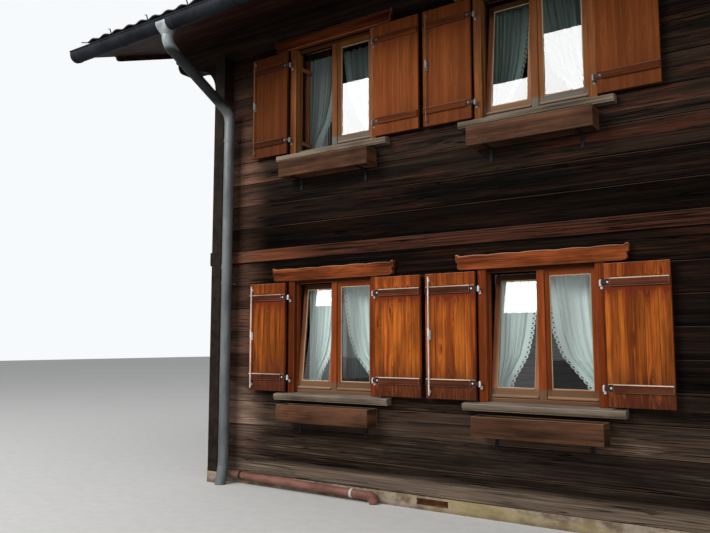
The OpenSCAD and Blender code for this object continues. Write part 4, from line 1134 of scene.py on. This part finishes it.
def leaf_iron(pins):
    """Black straps on a leaf's hinge ends; pins says whether they end in eyes or in fixed feet."""
    part = Shape()
    strap_y = LEAF_FRONT - STRAP_T
    for z in BATTENS:
        middle = z + BATTEN_H / 2
        face = strap_y - 0.002
        part.bar((LEAF_IN + 0.0005, face, middle - STRAP_H / 2),
                 (LEAF_IN + STRAP_L, LEAF_FRONT - 0.001, middle + STRAP_H / 2))
        head = [(0.003, -0.0032), (0.006, -0.0025), (0.008, -0.0012), (0.008, 0.001)]
        part.turned(head, (LEAF_IN + 0.65 * STRAP_L, face, middle), axis=1, sides=16, finish=1)
        low, high = middle - EYE_H / 2, middle + EYE_H / 2
        if pins:
            part.bar((EYE_R * 0.6, strap_y, low + 0.002), (LEAF_IN + 0.004, LEAF_FRONT + 0.003, high - 0.002),
                     arris=0.0015)
            eye = [(EYE_R - 0.002, 0), (EYE_R, 0.002), (EYE_R, EYE_H - 0.002), (EYE_R - 0.002, EYE_H)]
            part.turned(eye, (0, 0, low), finish=1)
        else:
            part.bar((-EYE_R, strap_y, low), (LEAF_IN + 0.004, -HINGE_Y - CASING_OUT, high), arris=0.002)
    return part


def leaf_bolt():
    """The bolt rod near a left leaf's free edge, with its guides and grip."""
    radius = 0.007
    x = LEAF_IN + LEAF_W - 0.042
    y = LEAF_FRONT - BATTEN_T - radius + 0.003
    rod = [(0.003, 0), (radius, 0.003), (radius, LEAF_H - 0.053), (0.003, LEAF_H - 0.05)]
    part = Shape().turned(rod, (x, y, 0.025))
    middle = LEAF_H / 2
    plates = [
        (0.009, y + 0.001, LEAF_FRONT, z - 0.014, z + 0.014, 0.002) for z in (0.060, middle, LEAF_H - 0.060)]
    plates.append((0.013, y + 0.002, LEAF_FRONT, middle - 0.035, middle + 0.050, 0.002))
    plates.append((0.009, y - 0.007, y + 0.003, middle - 0.008, middle + 0.07, 0.003))
    for half, near, far, low, high, arris in plates:
        part.bar((x - half, near, low), (x + half, far, high), grain=2, arris=arris, finish=1)
    return part


# How much paler or darker than the rest each leaf stands, from left to right
LEAF_TONES = {"lower": (-1.1, 0.3, -0.1, -0.5), "upper": (-2.2, 0.5, -0.2, -0.9)}


def shutters():
    iron, bolt = leaf_iron(True), leaf_bolt()
    hinge_place = moved((HINGE_X, HINGE_Y, 0))
    spare = window_places(AT_FRONT, COLUMNS[2:]) + REAR_PLACES
    places = [place @ turn @ hinge_place for place in spare for turn in SIDES.values()]
    storeys = (
        ("lower", leaf_wood(0.002), [LOWER_SHUTTER, LOWER_BATTEN], 0.7, ROD, ["fixed_shutters"]),
        ("upper", leaf_wood(0.0016), [UPPER_SHUTTER, UPPER_BATTEN], 0.25, UPSTAIRS_ROD, []))
    for storey, leaf, finishes, spread, rod, _ in storeys:
        tones = iter(LEAF_TONES[storey])
        for number, x in enumerate(USED_COLUMNS, 1):
            for side, turn in SIDES.items():
                body = f"{storey}_window_{number}_{side}_shutter"
                here = AT_FRONT @ moved((x, 0, STOREYS[storey])) @ turn @ hinge_place
                piece(f"{body}_boards", Shape().add(leaf, here), f"{storey}_shutter_wood", finishes, body,
                      [body], tone=next(tones), spread=spread)
                piece(f"{body}_straps", Shape().add(iron, here), "black_iron", [STRAP_IRON, BRIGHT], body)
                if side == "left":
                    piece(f"{body}_bolt", Shape().add(bolt, here), "zinc", [rod, BRIGHT], body)
    for storey, leaf, finishes, _, _, stands_for in storeys:
        level = [place for place in places if abs(place.translation.z - STOREYS[storey]) < 0.1]
        fixed = Shape().add(leaf, *level)
        piece(f"{storey}_fixed_shutters", fixed, f"{storey}_shutter_wood", finishes, stands_for=stands_for)
    fixed_irons = Shape().add(leaf_iron(False), *places)
    piece("fixed_shutter_straps", fixed_irons, "black_iron", [STRAP_IRON, BRIGHT])


shutters()


def slope_place(out, base):
    """Axes of the front roof slope: x along the eaves, y up the slope from its edge, z square to it."""
    edge = moved((0, -HALF_D - out, SOFFIT_Z - SLOPE * out))
    return edge @ Matrix.Rotation(SLOPE_ANGLE, 4, "X") @ moved((0, 0, base))


def soffit():
    """Boards along the eaves, from the edge to the ridge, in lengths that break joint."""
    part = Shape()
    board_w = 0.121
    thick = 0.020
    length = (HALF_D + EAVES_OUT) / math.cos(SLOPE_ANGLE)
    rows = int(length / board_w)
    step = length / rows
    for row in range(rows):
        breaks = [-ROOF_HALF_L, -2.3 + 1.7 * (row % 3 - 1), 2.4 + 1.5 * ((row * 2) % 3 - 1), ROOF_HALF_L]
        for start, stop in zip(breaks, breaks[1:]):
            part.bar((start + 0.0005, row * step, 0), (stop - 0.0005, (row + 1) * step, thick), arris=0.004)
    both = Shape().add(part, *(turn @ slope_place(EAVES_OUT, 0) for turn in SLOPES.values()))
    piece("soffit_planks", both, "soffit_wood", [SOFFIT], stands_for=["soffit_boards"])


soffit()


def flower_boxes():
    """Plank boxes on iron brackets under the front windows."""
    part = Shape()
    half, depth, height, thick = 0.55, 0.19, 0.17, 0.014
    back, foot = -0.025, -0.045 - 0.075 - height
    near, top = back - depth, foot + height
    for y in (near, back - thick):
        part.bar((-half, y, foot), (half, y + thick, top), arris=0.003)
    for x in (-half, half - thick):
        part.bar((x, near + thick, foot), (x + thick, back - thick, top), grain=1, arris=0.003)
    part.bar((-half + thick, near + thick, foot), (half - thick, back - thick, foot + thick))
    iron_w, iron_t, drop = 0.03, 0.008, 0.12
    for x in (-half + 0.13, half - 0.16):
        part.bar((x, near, foot - iron_t), (x + iron_w, 0, foot), grain=1, finish=1)
        part.bar((x, -iron_t, foot - drop), (x + iron_w, 0, foot - iron_t), grain=2, finish=1)
    made = Shape().add(part, *FRONT_PLACES)
    piece("flower_boxes", made, "box_wood", [BOX_WOOD, IRON], stands_for=["window_boxes"])


flower_boxes()


def air_grille():
    """Rusty bars in the plinth's air slot."""
    left, low, width, height = USED_COLUMNS[0] + 0.95, 0.042, 0.32, 0.058
    gap, rail, bar, pitch, thick = 0.001, 0.012, 0.011, 0.0186, 0.004
    near = -HALF_D + 0.012
    part = Shape()
    for z in (low + gap, low + height - gap - rail):
        part.bar((left + gap, near, z), (left + width - gap, near + thick, z + rail))
    x = left + 0.006
    while x + bar < left + width:
        corner = (x + bar, near + thick - 0.001, low + height - rail)
        part.bar((x, near + 0.001, low + rail), corner, grain=2)
        x += pitch
    piece("air_grille", part, "black_iron", [RUST])


air_grille()


def lay(name, part, finish, slot, place, columns, across, rows=1, up=0, stands_for=(), turn=0, seed=1):
    """A piece of copies of a part in columns and rows from a place, each a little turned and tinted."""
    sample = bpy.data.objects.new(f"{name}_part", part.mesh(f"{name}_part"))
    for attribute in ("grain", "tint", "worn"):
        sample.data.attributes.remove(sample.data.attributes[attribute])
    tree = bpy.data.node_groups.new(name, "GeometryNodeTree")
    tree.interface.new_socket("Geometry", in_out="OUTPUT", socket_type="NodeSocketGeometry")

    def node(kind, inputs=None, output=0, **settings):
        return Field(new_node(tree, kind, inputs, **settings), output)

    def either_way(reach):
        return node("FunctionNodeRandomValue", {2: -reach, 3: reach, "Seed": seed}, 1, data_type="FLOAT")

    index = node("GeometryNodeInputIndex")
    row = (index / columns).reckon("FLOOR")
    spots = node("ShaderNodeCombineXYZ", {0: index % columns * across, 1: row * up})
    points = node("GeometryNodePoints", {"Count": columns * rows, "Position": spots})
    turns = node("ShaderNodeCombineXYZ", {2: either_way(turn)})
    copied = node("GeometryNodeObjectInfo", {"Object": sample, "As Instance": True}, "Geometry")
    copies = node("GeometryNodeInstanceOnPoints", {"Points": points, "Instance": copied, "Rotation": turns})
    inputs = {"Geometry": copies, "Name": "tint", "Value": either_way(1)}
    tinted = node("GeometryNodeStoreNamedAttribute", inputs, data_type="FLOAT", domain="INSTANCE")
    real = node("GeometryNodeRealizeInstances", {"Geometry": tinted})
    new_node(tree, "NodeGroupOutput", {"Geometry": real})
    holder = linked(f"{name}_rows", bpy.data.meshes.new(f"{name}_rows"))
    holder.modifiers.new("rows", "NODES").node_group = tree
    graph = bpy.context.evaluated_depsgraph_get()
    graph.update()
    laid = holder.evaluated_get(graph)
    made = bpy.data.meshes.new_from_object(laid, preserve_all_data_layers=True, depsgraph=graph)
    made.name = name
    made.materials.clear()
    made.transform(place)
    bpy.data.objects.remove(holder)
    bpy.data.objects.remove(sample)
    piece(name, made, slot, [finish], stands_for=stands_for)


def leaning(part, axis, fall, rise):
    """The part with its height raised, and falling with the distance along an axis."""
    lean = Matrix.Identity(4)
    lean[2][axis] = -fall
    lean[2][3] = rise
    return Shape().add(part, lean)


def roof_tiles():
    """Rolled tiles on both slopes, laid from the eaves up, and half-round tiles along the ridge."""
    roll_h, thick, lap, rows = 0.022, 0.010, 0.02, 17
    across = (2 * TILES_HALF_L - lap) / TILE_COLUMNS
    length, rise = 0.385, 0.012
    xs = np.linspace(0, across + lap, 9)
    wave = roll_h / 2 * (1 + np.cos(2 * math.pi * xs / across))
    outline = list(zip(xs, wave)) + list(zip(xs[::-1], wave[::-1] + thick))
    flat = Shape().sweep(outline, [(0, 0.0015), (0.004, 0), (length, 0)], axes=(1, 0, 2), grain=1)
    tile = leaning(flat, 1, rise / TILE_COURSE, rise)
    for side, turn in SLOPES.items():
        place = turn @ slope_place(TILES_OUT, TILES_BASE) @ moved((-TILES_HALF_L, 0, 0))
        lay(f"{side}_tiles", tile, TILE, "roof_tile", place, TILE_COLUMNS, across, rows, TILE_COURSE,
            stands_for=[f"{side}_roof_tiles"], turn=0.004, seed=len(side))
    low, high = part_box("ridge_tiles")
    radius, wall, length, step = 0.13, 0.014, 0.39, 0.36
    count = int((high.x - low.x - length) / step) + 1
    step = (high.x - low.x - length) / (count - 1)
    outline = arc(0, 0, radius, -12, 192, 14) + arc(0, 0, radius - wall, 192, -12, 14)
    half_round = Shape().sweep(outline, softened(0, length, 0.004, 0.002))
    fall = 0.010
    lay("ridge_row", leaning(half_round, 0, fall / length, 0), TILE, "roof_tile",
        moved((low.x, 0, high.z - radius)), count, step, stands_for=["ridge_tiles"], seed=3)


roof_tiles()


def snow_hooks():
    """Upright hooks on every third roll of the tiles, near the eaves and in two rows above."""
    strap, half, tall, foot, lip = 0.004, 0.008, 0.055, 0.16, 0.022
    roll_pitch = 2 * TILES_HALF_L / TILE_COLUMNS
    over_base, from_edge = 0.040, 0.10
    part = Shape()
    part.bar((-half, 0, 0), (half, strap, tall), grain=2)
    part.bar((-half, -lip, tall - strap), (half, 0, tall), grain=1)
    part.bar((-half, strap, 0), (half, foot, strap), grain=1)
    first = slope_place(TILES_OUT, TILES_BASE + over_base)
    first = first @ moved((-TILES_HALF_L + 2 * roll_pitch, from_edge, 0))
    for side, turn in SLOPES.items():
        lay(f"{side}_snow_hooks", part, IRON, "black_iron", turn @ first, columns=22, across=3 * roll_pitch,
            rows=3, up=5 * TILE_COURSE, seed=4)


snow_hooks()


def gutter_brackets():
    """Straps that carry the gutters from the roof's edge, evenly spaced."""
    low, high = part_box("gutters")
    radius, strap, width, spacing = 0.0803, 0.004, 0.028, 0.82
    rise, arm = 0.062, 0.10
    part = Shape()
    hoop = arc(0, 0, radius + strap, -178, -2, 18) + arc(0, 0, radius, -2, -178, 18)
    part.sweep(hoop, softened(0, width, 0.001, 0.0008))
    part.bar((0, radius - 0.001, -strap), (width, radius + strap, rise), grain=2)
    part.bar((0, radius - 0.001, rise - strap), (width, radius + arm, rise), grain=1)
    count = int((high.x - low.x) / spacing) + 1
    first = moved((-spacing * (count - 1) / 2, -(HALF_D + TILES_OUT + 0.02), low.z + 0.080))
    for side, turn in SLOPES.items():
        lay(f"{side}_gutter_brackets", part, IRON, "black_iron", turn @ first, count, spacing)


gutter_brackets()

# The cloth's width before it is gathered, and its drop
CURTAIN_CUTS = {"left": (0.58, 1.20), "right": (0.80, 1.20), "drawn": (0.90, 1.20)}
# How far from the middle each curtain's outer edge hangs
OUTER_EDGES = {"left": 0.50, "right": 0.545, "drawn": 0.545}
# How far each curtain's inner edge lies from the middle at these heights; the left ones reach less far
EDGE_HEIGHTS = (0.02, 0.12, 0.195, 0.27, 0.39, 0.58, 0.80, 1.00, 1.195)
INNER_EDGES = {"right": (0.27, 0.30, 0.235, 0.17, 0.07, 0.0, -0.032, -0.060, -0.075),
               "left": (0.33, 0.345, 0.315, 0.265, 0.195, 0.145, 0.110, 0.095, 0.090),
               "drawn": (-0.065,) * 9}


def curtain_mesh(name, place, hang, folds, across, down, seed, behind):
    """A curtain gathered on the rod, drawn or swept out to a tie near the hem.

    The place is that of its window, mirrored for a left one. Behind is how much farther into the room
    it hangs than the other of its pair.
    """
    draws = np.random.default_rng(seed)
    u, v = np.meshgrid(np.linspace(0, 1, across + 1), np.linspace(0, 1, down + 1))
    top = ROD_Z - 0.010
    flat_edge, far = 0.075, OUTER_EDGES[hang]
    cut, drop = CURTAIN_CUTS[hang]
    height = top - (top - HEM_Z) * v
    inner = np.interp(height, EDGE_HEIGHTS, INNER_EDGES[hang]) + draws.uniform(0, 0.008)
    along = np.clip((u * cut - flat_edge) / (cut - flat_edge), 0, 1)
    edge = np.minimum(u * cut, flat_edge)
    phase = along * folds * 2 * math.pi + 0.9 * np.sin(5.2 * along + draws.uniform(0, 6))
    phase = phase + 0.5 * np.sin(2.3 * v + draws.uniform(0, 6))
    deep = 0.020 * (0.75 + 0.35 * np.sin(7.0 * along + draws.uniform(0, 6)))
    x = inner + edge + (far - inner - flat_edge) * along + 0.004 * np.sin(phase * 0.5 + 3 * v)
    y = ROD_Y + behind + deep * np.sin(phase) * np.clip(u * cut / flat_edge, 0.15, 1)
    if hang == "drawn":
        y = y - (ROD_Y - LOG_T - 0.03) * np.clip((along - 0.86) / 0.12, 0, 1) ** 2
    sag = 0.012 * np.sin(math.pi * u) * v
    z = height - sag * (1 - v) + 0.004 * np.sin(phase) * v
    points = np.stack([np.minimum(x, far + 0.002), y, np.maximum(z, HEM_Z)], 2).reshape(-1, 3)
    n = across + 1
    first = (np.arange(down)[:, None] * n + np.arange(across)).reshape(-1)
    faces = np.stack([first, first + n, first + n + 1, first + 1], 1)
    if place.is_negative:
        faces = faces[:, ::-1]
    made = bpy.data.meshes.new(name)
    made.from_pydata(placed(points, place), [], faces, shade_flat=False)
    cloth = np.stack([u * cut, v * drop], 2).reshape(-1, 2)
    made.uv_layers.new(name="cloth").data.foreach_set("uv", cloth[faces.ravel()].ravel())
    made.update()
    return made


def curtains():
    """Pairs of lace-edged net curtains behind all the windows."""
    stands_for = ["curtains"]
    rooms = ("front", FRONT_PLACES, 7, 88, 40), ("rear", REAR_PLACES, 8, 66, 20)
    for room, places, folds, across, down in rooms:
        for number, place in enumerate(places, 1):
            for side, turn in SIDES.items():
                name = f"{room}_curtain_{number}_{side}"
                hang = "drawn" if room == "rear" else side
                behind = 0.035 if room == "rear" and side == "left" else 0.0
                seed = number * 2 + (side == "left")
                made = curtain_mesh(name, place @ turn, hang, folds, across, down, seed, behind)
                # Upstairs curtains take the net with painted shade
                net_here = NET if place.translation.z < STOREY_Z else SHADED_NET
                cloth = piece(name, made, "lace", [net_here], stands_for=stands_for)
                stands_for = []


curtains()

for corner in CAD_BOX:
    print("frame", [round(v, 3) for v in corner])
